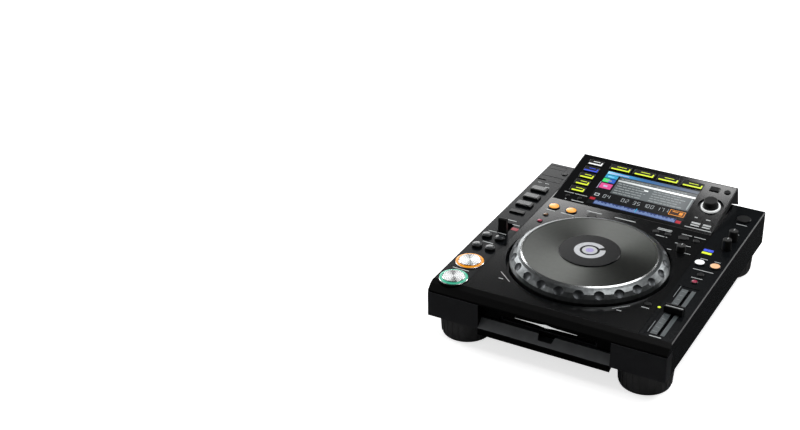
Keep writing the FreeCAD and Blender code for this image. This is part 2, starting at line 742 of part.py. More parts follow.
def make_display_housing():
    """Wedge-shaped shell of the display, with a lobe behind and a neck into the deck."""
    body = new_body("display_housing")
    front, foot = "display_front", "display_foot"
    rest = on_slope("display_rest", "-display_slab")
    heel = on_slope("tail_start", "-display_slab")
    crest = on_slope("display_length", "0")
    side_pad(body, [
        (front, "display_skirt"), (front, foot), crest, ("tail_back", "tail_low"), heel, rest,
        (rest[0], "display_skirt")], "2 * display_half")
    neck_top = f"display_foot + (neck_back - display_front) * {SIN} / {COS} - display_slab + 0.8"
    side_pad(body, [
        (f"{rest[0]} - 3", "display_skirt"), (f"{rest[0]} - 3", rest[1]),
        ("neck_back", neck_top), ("neck_back", "display_skirt")], "2 * neck_half")
    side_pad(body, [
        (f"{front} + skirt_wall", "display_skirt - 1"), (f"{front} + skirt_wall", "display_skirt + 1"),
        (f"{rest[0]} - skirt_wall", f"{rest[1]} - skirt_wall"),
        (f"{rest[0]} - skirt_wall", "display_skirt - 1")],
        "2 * (display_half - skirt_wall)", "Pocket")
    near = on_slope("display_rest", "-display_slab - neck_skin")
    far = on_slope("tail_start - 4", "-display_slab - neck_skin")
    side_pad(body, [
        (f"{rest[0]} - skirt_wall - 1", "display_skirt - 1"),
        (f"{rest[0]} - skirt_wall - 1", near[1]), near, far, (far[0], "display_skirt - 1")],
        "2 * (neck_half - skirt_wall)", "Pocket")
    inner = on_slope("tail_start + 4", "-display_cavity + 0.5")
    outer = on_slope("display_length - display_wall", "-display_cavity + 0.5")
    side_pad(body, [inner, outer, ("tail_inner_back", "tail_inner_low")],
             "2 * (display_half - display_wall)", "Pocket")
    sketch = slope_sketch(body, "0")
    rectangle(sketch, "0", "display_length / 2", "2 * (display_half - glass_rim)",
              "display_length - 2 * glass_rim")
    extrude(body, "Pocket", sketch, "glass_thick")
    sketch = slope_sketch(body, "0")
    rectangle(sketch, "0", "display_length / 2", "2 * (display_half - display_wall)",
              "display_length - 2 * display_wall")
    extrude(body, "Pocket", sketch, "display_cavity")
    sketch = slope_sketch(body, "-display_slab")
    circle(sketch, "dial_x", "dial_up", "dial_boss")
    extrude(body, "Pad", sketch, "display_slab - dial_well_depth")
    sketch = slope_sketch(body, "0")
    circle(sketch, "dial_x", "dial_up", "dial_shaft + slide_gap")
    extrude(body, "Pocket", sketch, "display_slab + 3")


def make_display_panel():
    """Glass plate with the display module bonded to its underside."""
    body = new_body("display_panel")
    sketch = new_sketch(body, "XY_Plane", "-glass_thick")
    rectangle(sketch, "0", "display_length / 2", "2 * (display_half - glass_rim - fit_gap)",
              "display_length - 2 * (glass_rim + fit_gap)")
    extrude(body, "Pad", sketch, "glass_thick")
    sketch = new_sketch(body, "XY_Plane", "-glass_thick - lcd_thick")
    rectangle(sketch, "lcd_x", "lcd_up", "lcd_wide", "lcd_tall")
    extrude(body, "Pad", sketch, "lcd_thick")
    sketch = new_sketch(body, "XY_Plane")
    circle(sketch, "dial_x", "dial_up", "dial_well_radius")
    for name in DISPLAY_ROUND:
        circle(sketch, across(name), f"{name}_y", f"{name}_radius + fit_gap")
    for name in DISPLAY_KEYS:
        rectangle(sketch, across(name), f"{name}_y", f"{name}_wide + 2 * fit_gap",
                  f"{name}_deep + 2 * fit_gap")
    extrude(body, "Pocket", sketch, "glass_thick")
    sketch = new_sketch(body, "XY_Plane")
    rectangle(sketch, "lcd_x", "lcd_up", "lcd_wide", "lcd_tall")
    extrude(body, "Pocket", sketch, "lcd_window_depth")
    set_on_slope(body, "0", "0")


def make_jog():
    """Turning ring with finger dimples, the plate inside it, and the fixed centre display."""
    ring = new_body("jog_ring")
    turn(ring, [
        ("ring_radius", "ring_skirt"), ("ring_radius", "ring_shoulder"),
        ("ring_radius - 1.8", "ring_shoulder + 5"), ("ring_radius - 5.6", "ring_shoulder + 10"),
        ("crest_radius + 4", "ring_crest - 1.2"), ("crest_radius", "ring_crest"),
        ("plate_radius + running_gap", "ring_crest"),
        ("plate_radius + running_gap", "plate_top - plate_thick"),
        ("ring_ledge", "plate_top - plate_thick"),
        ("ring_ledge", "plate_top - plate_thick - ring_wall"),
        ("crest_radius - 0.5", "plate_top - plate_thick - ring_wall"),
        ("ring_radius - 8.6", "ring_shoulder + 7.5"),
        ("ring_radius - 4.6", "ring_shoulder + 3.5"), ("ring_radius - ring_wall", "ring_shoulder"),
        ("ring_radius - ring_wall", "ring_skirt")])
    dimple = ring.newObject("PartDesign::SubtractiveSphere", "dimple")
    plane = [feature for feature in ring.Origin.OriginFeatures if feature.Role == "XY_Plane"][0]
    dimple.AttachmentSupport = [(plane, "")]
    dimple.MapMode = "FlatFace"
    dimple.setExpression("Radius", named("dimple_sphere"))
    dimple.setExpression("AttachmentOffset.Base.x", named("crest_radius + dimple_out"))
    dimple.setExpression("AttachmentOffset.Base.z", named("ring_crest + dimple_up"))
    doc.recompute()
    around = ring.newObject("PartDesign::PolarPattern", "dimples")
    around.Originals = [dimple]
    axis = [feature for feature in ring.Origin.OriginFeatures if feature.Role == "Z_Axis"][0]
    around.Axis = (axis, [""])
    around.Angle = 360
    around.setExpression("Occurrences", named("dimple_count"))
    ring.Tip = around
    set_down(ring, "0", "jog_y", "0")
    plate = new_body("jog_plate")
    turn(plate, [
        ("spindle_radius + running_gap", "hub_bottom"), ("hub_radius", "hub_bottom"),
        ("hub_radius", "web_top - web_thick"), ("jog_rim + web_thick", "web_top - web_thick"),
        ("jog_rim + web_thick", "plate_top - plate_thick"),
        ("plate_radius", "plate_top - plate_thick"), ("plate_radius", "plate_top"),
        ("jog_rim", "plate_top"), ("jog_rim", "web_top"),
        ("spindle_radius + running_gap", "web_top")])
    set_down(plate, "0", "jog_y", "0")
    centre = new_body("jog_display")
    turn(centre, [
        ("0", "well_floor"), ("spindle_foot", "well_floor"),
        ("spindle_foot", "well_floor + spindle_foot_thick"),
        ("spindle_radius", "well_floor + spindle_foot_thick"),
        ("spindle_radius", "disc_top - disc_thick"), ("disc_radius", "disc_top - disc_thick"),
        ("disc_radius", "disc_top - 0.5"), ("disc_radius - 0.5", "disc_top"), ("0", "disc_top")])
    set_down(centre, "0", "jog_y", "0")


def make_drive():
    """Slot-loading drive: a case that is open towards the slot, on four posts."""
    body = new_body("disc_drive")
    sketch = new_sketch(body, "XY_Plane", "drive_bottom")
    rectangle(sketch, "0", "panel_back + fit_gap + drive_depth / 2", "2 * drive_half", "drive_depth")
    extrude(body, "Pad", sketch, "drive_top - drive_bottom")
    sketch = new_sketch(body, "XZ_Plane", "1 - panel_back")
    rectangle(sketch, "0", "(bay_low + bay_high) / 2", "2 * bay_half", "bay_high - bay_low")
    extrude(body, "Pocket", sketch, "bay_depth + fit_gap + 1")
    sketch = new_sketch(body, "XY_Plane", "base_bottom + sheet_metal")
    for sign in ("", "-"):
        for y in ("panel_back + fit_gap + post_inset",
                  "panel_back + fit_gap + drive_depth - post_inset"):
            circle(sketch, f"{sign}(drive_half - post_inset)", y, "post_radius")
    extrude(body, "Pad", sketch, "drive_bottom - base_bottom - sheet_metal + 1")


def make_sockets():
    """Board behind the rear wall with the sockets that reach out through it."""
    body = new_body("socket_board")
    middle = "(board_left + board_right) / 2"
    sketch = new_sketch(body, "XZ_Plane", "-board_back")
    rectangle(sketch, middle, "(board_low + board_high) / 2", "board_right - board_left",
              "board_high - board_low")
    extrude(body, "Pad", sketch, "board_thick")
    inside = "rear_face - sheet_metal - 0.1 - board_back"
    outside = "rear_face - board_back"
    sketch = new_sketch(body, "XZ_Plane", "-board_back")
    for name in ("rca_left", "rca_right", "digital", "control"):
        rectangle(sketch, across(name), "socket_height", "rca_body", "rca_body")
    extrude(body, "Pad", sketch, inside, reverse=True)
    for reach, radius in (("", "rca_radius + rca_collar"), (" + rca_length", "rca_radius")):
        sketch = new_sketch(body, "XZ_Plane", "-board_back")
        for name in ("rca_left", "rca_right", "digital"):
            circle(sketch, across(name), "socket_height", radius)
        extrude(body, "Pad", sketch, f"{outside}{reach}", reverse=True)
    sketch = new_sketch(body, "XZ_Plane", "-board_back")
    circle(sketch, "control_x", "socket_height", "control_radius")
    extrude(body, "Pad", sketch, f"{outside} + control_length", reverse=True)
    sketch = new_sketch(body, "XZ_Plane", "-board_back")
    for name in ("usb_b", "link", "inlet"):
        rectangle(sketch, across(name), "socket_height", f"{name}_wide", f"{name}_tall")
    extrude(body, "Pad", sketch, f"{outside} + socket_proud", reverse=True)
    sketch = new_sketch(body, "XZ_Plane", "-rear_face - rca_length")
    for name in ("rca_left", "rca_right", "digital"):
        circle(sketch, across(name), "socket_height", "rca_bore")
    extrude(body, "Pocket", sketch, "rca_length", reverse=True)
    sketch = new_sketch(body, "XZ_Plane", "-rear_face - control_length")
    circle(sketch, "control_x", "socket_height", "control_bore")
    extrude(body, "Pocket", sketch, "control_length + rear_face - board_back - 1", reverse=True)
    sketch = new_sketch(body, "XZ_Plane", "-rear_face - socket_proud")
    for name in ("usb_b", "link", "inlet"):
        rectangle(sketch, across(name), "socket_height", f"{name}_wide - 2 * {name}_wall",
                  f"{name}_tall - 2 * {name}_wall")
    extrude(body, "Pocket", sketch, "rear_face + socket_proud - board_back", reverse=True)
    sketch = new_sketch(body, "XZ_Plane", "-board_back")
    for shift, lift in (("-blade_spacing", "-2"), ("0", "2.5"), ("blade_spacing", "-2")):
        rectangle(sketch, f"inlet_x + ({shift})", f"socket_height + ({lift})", "blade_wide",
                  "blade_tall")
    rectangle(sketch, "usb_b_x", "socket_height", "usb_b_wide / 2", "usb_b_tall / 4")
    extrude(body, "Pad", sketch, "rear_face - board_back - 1", reverse=True)
    power = new_body("power_button")
    sketch = new_sketch(power, "XZ_Plane", "-rear_face - power_rise")
    rectangle(sketch, "power_x", "socket_height", "power_wide", "power_tall")
    extrude(power, "Pad", sketch, "power_rise + sheet_metal + stop_gap")
    sketch = new_sketch(power, "XZ_Plane", "-rear_face + sheet_metal + stop_gap")
    rectangle(sketch, "power_x", "socket_height", "power_wide + 2 * collar",
              "power_tall + 2 * collar")
    extrude(power, "Pad", sketch, "collar_thick")
    sketch = new_sketch(power, "XZ_Plane", "-rear_face + sheet_metal + stop_gap + collar_thick")
    circle(sketch, "power_x", "socket_height", "power_stem")
    extrude(power, "Pad", sketch, "power_stem_length")


def plunger(body, name, panel, stem):
    """Round cap with a retaining collar under the panel and a short stem."""
    under = f"-({panel} + stop_gap)"
    below = f"-({panel} + stop_gap + collar_thick)"
    radius, rise = f"{name}_radius", f"{name}_rise"
    end = f"{below} - {stem}"
    turn(body, [
        ("0", rise), (f"{radius} - cap_chamfer", rise), (radius, f"{rise} - cap_chamfer"),
        (radius, under), (f"{radius} + collar", under), (f"{radius} + collar", below),
        (f"{radius} / 2", below), (f"{radius} / 2", end), ("0", end)])


def key(body, name, panel, stem):
    """Rectangular cap with rounded corners, a retaining collar and a short stem."""
    under = f"-({panel} + stop_gap)"
    sketch = new_sketch(body, "XY_Plane", under)
    rectangle(sketch, "0", "0", f"{name}_wide", f"{name}_deep")
    extrude(body, "Pad", sketch, f"{name}_rise + {panel} + stop_gap")
    dress(body, "Fillet", is_upright, "key_round")
    dress(body, "Chamfer", level_at(size(named(f"{name}_rise"))), "cap_chamfer")
    sketch = new_sketch(body, "XY_Plane", f"{under} - collar_thick")
    rectangle(sketch, "0", "0", f"{name}_wide + 2 * collar", f"{name}_deep + 2 * collar")
    extrude(body, "Pad", sketch, "collar_thick")
    sketch = new_sketch(body, "XY_Plane", f"{under} - collar_thick - {stem}")
    rectangle(sketch, "0", "0", f"{name}_wide / 2", f"{name}_deep / 2")
    extrude(body, "Pad", sketch, stem)


def make_buttons():
    """All the push buttons and keys of the deck and of the display."""
    for name in ROUND_BUTTONS:
        body = new_body(name)
        plunger(body, name, "wall", "deck_stem")
        set_down(body, across(name), f"{name}_y")
    for name in DECK_KEYS:
        body = new_body(name)
        key(body, name, "wall", "deck_stem")
        set_down(body, across(name), f"{name}_y")
    for name in DISPLAY_ROUND:
        body = new_body(name)
        plunger(body, name, "glass_thick", "display_stem")
        set_on_slope(body, across(name), f"{name}_y")
    for name in DISPLAY_KEYS:
        body = new_body(name)
        key(body, name, "glass_thick", "display_stem")
        set_on_slope(body, across(name), f"{name}_y")
    for name in DEEP_BUTTONS:
        body = new_body(name)
        radius, rise = f"{name}_radius", f"{name}_rise"
        under = "-(cup_depth + cup_floor + stop_gap)"
        turn(body, [
            ("0", rise), ("cap_radius - cap_chamfer", rise), ("cap_radius", f"{rise} - cap_chamfer"),
            ("cap_radius", "ring_rise"), (f"{radius} - cap_chamfer", "ring_rise"),
            (radius, "ring_rise - cap_chamfer"), (radius, "-cap_skirt"), ("pillar", "-cap_skirt"),
            ("pillar", under), ("pillar + collar", under),
            ("pillar + collar", f"{under} - collar_thick"), ("0", f"{under} - collar_thick")])
        set_down(body, across(name), f"{name}_y")


def make_knobs():
    """Three small knobs on shafts, each with a pointer groove, and the selector dial."""
    for name in KNOBS:
        body = new_body(name)
        radius, rise = f"{name}_radius", f"{name}_rise"
        under = "-(wall + stop_gap)"
        turn(body, [
            ("0", rise), (f"{radius} - 2 * knob_taper", rise),
            (f"{radius} - knob_taper", f"{rise} - knob_taper"), (radius, "knob_lift"),
            ("knob_shaft", "knob_lift"), ("knob_shaft", under), ("knob_shaft + collar", under),
            ("knob_shaft + collar", f"{under} - collar_thick"),
            ("knob_shaft", f"{under} - collar_thick"), ("knob_shaft", "-knob_shaft_length"),
            ("0", "-knob_shaft_length")])
        sketch = new_sketch(body, "XY_Plane", rise)
        rectangle(sketch, "0", f"{radius} / 2", "pointer_width", radius)
        extrude(body, "Pocket", sketch, "pointer_width / 2")
        set_down(body, across(name), f"{name}_y")
    shaft = new_body("selector_shaft")
    seat = "-(display_slab + neck_skin + stop_gap)"
    turn(shaft, [
        ("0", "dial_shaft_top"), ("dial_shaft", "dial_shaft_top"), ("dial_shaft", seat),
        ("dial_shaft + collar", seat), ("dial_shaft + collar", f"{seat} - collar_thick"),
        ("0", f"{seat} - collar_thick")])
    set_on_slope(shaft, "dial_x", "dial_up")
    knob = new_body("selector_knob")
    turn(knob, [
        ("0", "dial_rise"), ("dial_radius - 2 * knob_taper", "dial_rise"),
        ("dial_radius", "dial_rise - 2 * knob_taper"), ("dial_radius", "dial_lift + dial_skirt_rise"),
        ("dial_skirt - cap_chamfer", "dial_lift + dial_skirt_rise"),
        ("dial_skirt", "dial_lift + dial_skirt_rise - cap_chamfer"), ("dial_skirt", "dial_lift"),
        ("dial_shaft + slide_gap", "dial_lift"), ("dial_shaft + slide_gap", "dial_shaft_top + stop_gap"),
        ("0", "dial_shaft_top + stop_gap")])
    set_on_slope(knob, "dial_x", "dial_up")


def make_slider():
    """Tempo slider: a waisted cap, a stem through the slot and a foot under the deck."""
    body = new_body("tempo_slider")
    half, rise, lift = "slider_deep / 2", "slider_rise", "slider_lift"
    side_pad(body, [
        (f"-{half}", lift), (f"-{half}", f"{rise} * 0.45"), (f"-{half} + 1.2", rise),
        ("-slider_waist", rise), ("-slider_waist / 2", f"{rise} - 1.2"),
        ("slider_waist / 2", f"{rise} - 1.2"), ("slider_waist", rise), (f"{half} - 1.2", rise),
        (half, f"{rise} * 0.45"), (half, lift)], "slider_wide")
    sketch = new_sketch(body, "XY_Plane", "-(wall + stop_gap)")
    rectangle(sketch, "0", "0", "stem_wide", "stem_deep")
    extrude(body, "Pad", sketch, "wall + stop_gap + slider_lift")
    sketch = new_sketch(body, "XY_Plane", "-(wall + stop_gap + slider_foot_thick)")
    rectangle(sketch, "0", "0", "slider_foot", "stem_deep")
    extrude(body, "Pad", sketch, "slider_foot_thick")
    set_down(body, "slider_middle", "slider_y")


def make_lever():
    """Direction lever: a paddle on a cross axle below the deck."""
    body = new_body("direction_lever")
    top = "lever_pivot_drop + lever_rise"
    half = "lever_deep / 2"
    side_pad(body, [
        (f"-{half}", "0"), (f"-{half} + 0.4", f"{top} - 1.5"), (f"-{half} + 1.8", top),
        (f"{half} - 1.8", top), (f"{half} - 0.4", f"{top} - 1.5"), (half, "0")], "lever_wide")
    sketch = new_sketch(body, "YZ_Plane")
    circle(sketch, "0", "0", "lever_heel")
    extrude(body, "Pad", sketch, "lever_wide", midplane=True)
    sketch = new_sketch(body, "YZ_Plane")
    circle(sketch, "0", "0", "axle_radius")
    extrude(body, "Pad", sketch, "lever_wide + 2 * (lever_side_gap + axle_reach - fit_gap)",
            midplane=True)
    set_down(body, "lever_middle", "lever_y", "deck_top - lever_pivot_drop")


def make_flap(label, name):
    """Flap that lies in the deck over a port and swings up on pins at its rear edge."""
    body = new_body(label)
    reach = f"{name}_deep - flap_thick / 2"
    side_pad(body, [
        (f"-({reach})", "-flap_thick / 2"), (f"-({reach})", "flap_thick / 2"),
        ("0", "flap_thick / 2"), ("0", "-flap_thick / 2")], f"{name}_wide")
    sketch = new_sketch(body, "YZ_Plane")
    circle(sketch, "0", "0", "flap_thick / 2")
    extrude(body, "Pad", sketch, f"{name}_wide", midplane=True)
    sketch = new_sketch(body, "YZ_Plane")
    circle(sketch, "0", "0", "flap_pin")
    extrude(body, "Pad", sketch, f"{name}_wide + 2 * flap_pin_reach", midplane=True)
    if label == "card_door":
        sketch = new_sketch(body, "XY_Plane", "flap_thick / 2")
        rectangle(sketch, "card_notch_wide / 2 - card_wide / 2",
                  f"card_notch_deep / 2 - ({reach})", "card_notch_wide", "card_notch_deep")
        extrude(body, "Pocket", sketch, "flap_thick * 0.7")
    y, z = hinge_place(name)
    set_down(body, across(name), y, z)


make_top_case()
make_chassis()
make_front_panel()
make_feet()
make_display_housing()
make_display_panel()
make_jog()
make_drive()
make_sockets()
make_buttons()
make_knobs()
make_slider()
make_lever()
make_flap("usb_cover", "usb")
make_flap("card_door", "card")
doc.recompute()

NODES = [
    "top_case", "bottom_chassis", "front_panel", "feet", "display_housing", "display_panel",
    "jog_display", "disc_drive", "socket_board", "jog_ring", "jog_plate", *ROUND_BUTTONS,
    *DEEP_BUTTONS, *DECK_KEYS, *DISPLAY_ROUND, *DISPLAY_KEYS, *KNOBS, "selector_shaft",
    "selector_knob", "tempo_slider", "direction_lever", "usb_cover", "card_door", "power_button"]
for part in doc.Objects:
    if "Invalid" in part.State or "Error" in part.State:
        raise RuntimeError(f"{part.Name} did not recompute")
os.makedirs("parts", exist_ok=True)
for node in NODES:
    shape = doc.getObject(node).Shape
    if shape.isNull() or not shape.isValid() or not shape.Solids:
        raise RuntimeError(f"{node} has no valid solid")
    shape.exportStep(f"parts/{node}.step")
print(len(NODES), "nodes written")
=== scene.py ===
"""Disc player with a jog wheel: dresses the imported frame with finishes, prints and lit parts."""
import math

import bpy
from mathutils import Matrix, Vector


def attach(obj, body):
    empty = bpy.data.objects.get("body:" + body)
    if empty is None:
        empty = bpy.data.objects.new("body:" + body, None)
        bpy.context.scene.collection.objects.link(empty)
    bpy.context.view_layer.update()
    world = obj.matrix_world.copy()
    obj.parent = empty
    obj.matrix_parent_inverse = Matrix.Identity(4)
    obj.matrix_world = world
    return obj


bl_info = {
    "name": "Disc player",
    "version": (1, 0, 0),
    "blender": (4, 5, 0),
    "location": "View3D > Sidebar > Disc player",
    "description": "Finishes, printed marks and lit parts of a front-loading disc player",
    "category": "Object",
}

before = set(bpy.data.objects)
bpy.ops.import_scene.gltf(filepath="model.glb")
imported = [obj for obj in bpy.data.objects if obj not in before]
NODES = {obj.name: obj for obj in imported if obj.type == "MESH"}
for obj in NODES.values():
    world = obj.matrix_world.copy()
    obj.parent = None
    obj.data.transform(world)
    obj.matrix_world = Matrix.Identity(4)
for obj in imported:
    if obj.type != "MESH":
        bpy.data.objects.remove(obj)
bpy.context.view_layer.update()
MM = 0.001
FINISHES = {}

# Places on the frame's parts, in millimetres.
# The top of the deck, the jog wheel's middle and the seams of the outer strips.
DECK = 78.5
JOG_Y = -61.3
SEAM_X = 116.5
# Half the width of the recessed front, and the inner edges of the blocks beside it.
RECESS_HALF = 89.5
BLOCK_EDGE = 89.0
# The jaw over the slot, painted as shade, lies before one line and above a level, and the lip,
# painted with a reflection, before the other.
JAW_FRONT = -186
JAW_FOOT = 50
LIP_FRONT = -190
# The finger dimples of the jog ring, painted darker as shade: one every step, each cut by a ball.
DIMPLE_STEP = 15
DIMPLE_REACH = 106.3
DIMPLE_LEVEL = 98.1
DIMPLE_BALL = 14.0
# The flat crest of the jog ring, and the glass of the fixed display inside the wheel.
RING_CREST = 94.5
JOG_GLASS = 96.6
# The underside of the case, its rear wall and the row of sockets in that wall.
FLOOR_OF_CASE = 31.0
REAR_WALL = 174.0
SOCKET_LEVEL = 52.0
# The two large buttons share this line, and the tempo slider runs along the other.
TRANSPORT_X = -137.2
SLIDER_X = 138.2
# Finishes drift in tone over patches of this many metres, by what the piece is made of.
PLASTIC_PATCH = 0.02
METAL_PATCH = 0.006
LENS_PATCH = 0.004
# Waves per metre in sprayed lacquer: about one every 9 mm, coarser than real ones, to show.
LACQUER_WAVES = 110.0
# Radians that the wave texture turns through over one unit of its scale.
WAVE_TURN = 20
# The display's face starts at this line and leans back by this angle.
SLOPE = (Matrix.Translation((0.0, 78.2 * MM, 78.0 * MM))
         @ Matrix.Rotation(math.radians(9.5), 4, "X"))


class PlayerColours(bpy.types.PropertyGroup):
    """Colours of the player, each an sRGB hex value"""
    deck: bpy.props.StringProperty(
        name="Deck", description="Colour of the moulded deck, as an sRGB hex value",
        default="#08090a")
    side_strip: bpy.props.StringProperty(
        name="Side strips", description="Colour of the strips left and right of the jog wheel",
        default="#101214")
    rubber: bpy.props.StringProperty(
        name="Rubber", description="Colour of the feet", default="#39393a")
    gloss: bpy.props.StringProperty(
        name="Display plate", description="Colour of the glossy display plate", default="#0b0c0d")
    jog_plate: bpy.props.StringProperty(
        name="Jog plate", description="Colour of the anodised jog plate", default="#414340")
    jog_ring: bpy.props.StringProperty(
        name="Jog ring", description="Colour of the metallic jog ring", default="#6c6f70")
    cap: bpy.props.StringProperty(
        name="Caps", description="Colour of the silver caps", default="#c9cbcb")
    print_ink: bpy.props.StringProperty(
        name="Print", description="Colour of the printed marks", default="#c4c8c8")
    amber: bpy.props.StringProperty(
        name="Amber light", description="Colour of the amber lit parts", default="#f0a13c")
    green: bpy.props.StringProperty(
        name="Green light", description="Colour of the green lit ring", default="#3fb08f")
    lime: bpy.props.StringProperty(
        name="Lime light", description="Colour of the lime lit keys", default="#d3e436")
    blue: bpy.props.StringProperty(
        name="Blue light", description="Colour of the blue lit keys", default="#3a4fc8")


class PlayerSizes(bpy.types.PropertyGroup):
    """Sizes of the player's marks and ribs"""
    print_height: bpy.props.FloatProperty(
        name="Print height", description="How far printed marks stand off the surface",
        default=0.00012, unit="LENGTH")
    rib_count: bpy.props.IntProperty(
        name="Foot ribs", description="Ribs round each rubber foot", default=26, min=8)
    rib_height: bpy.props.FloatProperty(
        name="Rib height", description="How far the ribs of a foot stand out",
        default=0.0006, unit="LENGTH")


def colours():
    """Colours that a user may change in the panel."""
    return bpy.context.scene.player_colours


def sizes():
    """Sizes that a user may change in the panel."""
    return bpy.context.scene.player_sizes


def linear(text):
    """sRGB hex value to the linear colour that shaders take."""
    values = [int(text[index:index + 2], 16) / 255 for index in (1, 3, 5)]
    return tuple(v / 12.92 if v <= 0.04045 else ((v + 0.055) / 1.055) ** 2.4
                 for v in values) + (1.0,)


def add_node(material, kind, settings=None, links=None):
    """Adds a shader node, sets its fields and sockets, and links its inputs."""
    tree = material.node_tree
    node = tree.nodes.new(kind)
    for key, value in (settings or {}).items():
        if isinstance(key, int) or key in node.inputs:
            node.inputs[key].default_value = value
        else:
            setattr(node, key, value)
    for key, (source, output) in (links or {}).items():
        tree.links.new(source.outputs[output], node.inputs[key])
    return node


def new_material(name):
    """Material with an empty node tree."""
    material = bpy.data.materials.new(name)
    material.use_nodes = True
    material.node_tree.nodes.clear()
    return material


def close_material(material, shader):
    """Joins a shader to the output and keeps the material under its name."""
    output = add_node(material, "ShaderNodeOutputMaterial")
    material.node_tree.links.new(shader.outputs[0], output.inputs["Surface"])
    FINISHES[material.name] = material
    return material


def speckled(material, colour, spread, grain):
    """Base colour that drifts a little round the given one, with patches of a real size."""
    place = add_node(material, "ShaderNodeTexCoord")
    noise = add_node(material, "ShaderNodeTexNoise", {"Scale": 1 / grain, "Detail": 3.0},
                     {"Vector": (place, "Object")})
    ramp = add_node(material, "ShaderNodeValToRGB", {}, {"Fac": (noise, "Fac")})
    base = linear(colour)
    for stop, factor in ((0, 1 - spread), (1, 1 + spread)):
        ramp.color_ramp.elements[stop].color = tuple(
            min(1.0, channel * factor) for channel in base[:3]) + (1.0,)
    ramp.color_ramp.elements[0].position = 0.3
    ramp.color_ramp.elements[1].position = 0.7
    return place, ramp


def moulded(name, colour, roughness, grain=0.0006, depth=0.00003, coat=0.0, spread=0.12,
            specular=0.5):
    """Moulded plastic with a spark-eroded grain; the grain is drawn coarse enough to show."""
    material = new_material(name)
    place, ramp = speckled(material, colour, spread, PLASTIC_PATCH)
    grains = add_node(material, "ShaderNodeTexNoise", {"Scale": 1 / grain, "Detail": 2.0},
                      {"Vector": (place, "Object")})
    bump = add_node(material, "ShaderNodeBump", {"Strength": 0.35, "Distance": depth},
                    {"Height": (grains, "Fac")})
    shader = add_node(material, "ShaderNodeBsdfPrincipled",
                      {"Roughness": roughness, "IOR": 1.46, "Coat Weight": coat,
                       "Coat Roughness": 0.12, "Specular IOR Level": specular},
                      {"Base Color": (ramp, "Color"), "Normal": (bump, "Normal")})
    return close_material(material, shader)


def metal(name, colour, roughness, anisotropy=0.0, groove=0.0, wobble=0.0, spread=0.06):
    """Metal: anisotropy and grooves as a lathe leaves them, wobble as in sprayed lacquer.
    The grooves are drawn coarser than the real ones, which are too fine to show."""
    material = new_material(name)
    place, ramp = speckled(material, colour, spread, METAL_PATCH)
    links = {"Base Color": (ramp, "Color")}
    if anisotropy:
        tangent = add_node(material, "ShaderNodeTangent", {"direction_type": "RADIAL", "axis": "Z"})
        links["Tangent"] = (tangent, "Tangent")
    if groove:
        shift = add_node(material, "ShaderNodeMapping",
                         {"Location": (0.0, -JOG_Y * MM, 0.0)}, {"Vector": (place, "Object")})
        rings = add_node(material, "ShaderNodeTexWave",
                         {"wave_type": "RINGS", "rings_direction": "Z",
                          "Scale": math.tau / WAVE_TURN / groove}, {"Vector": (shift, "Vector")})
        bump = add_node(material, "ShaderNodeBump", {"Strength": 0.12, "Distance": 0.00004},
                        {"Height": (rings, "Fac")})
        links["Normal"] = (bump, "Normal")
    if wobble:
        waves = add_node(material, "ShaderNodeTexNoise",
                         {"Scale": LACQUER_WAVES, "Detail": 2.0}, {"Vector": (place, "Object")})
        bump = add_node(material, "ShaderNodeBump", {"Strength": 1.0, "Distance": wobble},
                        {"Height": (waves, "Fac")})
        links["Normal"] = (bump, "Normal")
    shader = add_node(material, "ShaderNodeBsdfPrincipled",
                      {"Roughness": roughness, "Metallic": 1.0, "Anisotropic": anisotropy}, links)
    return close_material(material, shader)


def lit(name, colour, strength, roughness=0.25, across=()):
    """Translucent lens lit from behind; across lists colours from left to right in metres."""
    material = new_material(name)
    place, ramp = speckled(material, colour, 0.08, LENS_PATCH)
    tint = (ramp, "Color")
    if across:
        axes = add_node(material, "ShaderNodeSeparateXYZ", {}, {"Vector": (place, "Object")})
        first, last = across[0][0], across[-1][0]
        share = add_node(material, "ShaderNodeMapRange", {"From Min": first, "From Max": last},
                         {"Value": (axes, "X")})
        sweep = add_node(material, "ShaderNodeValToRGB", {}, {"Fac": (share, "Result")})
        stops = sweep.color_ramp.elements
        while len(stops) < len(across):
            stops.new(0.5)
        for stop, (x, text) in zip(stops, across):
            stop.position = (x - first) / (last - first)
            stop.color = linear(text)
        tint = (sweep, "Color")
    shader = add_node(material, "ShaderNodeBsdfPrincipled",
                      {"Roughness": roughness, "IOR": 1.49, "Emission Strength": strength},
                      {"Base Color": tint, "Emission Color": tint})
    return close_material(material, shader)


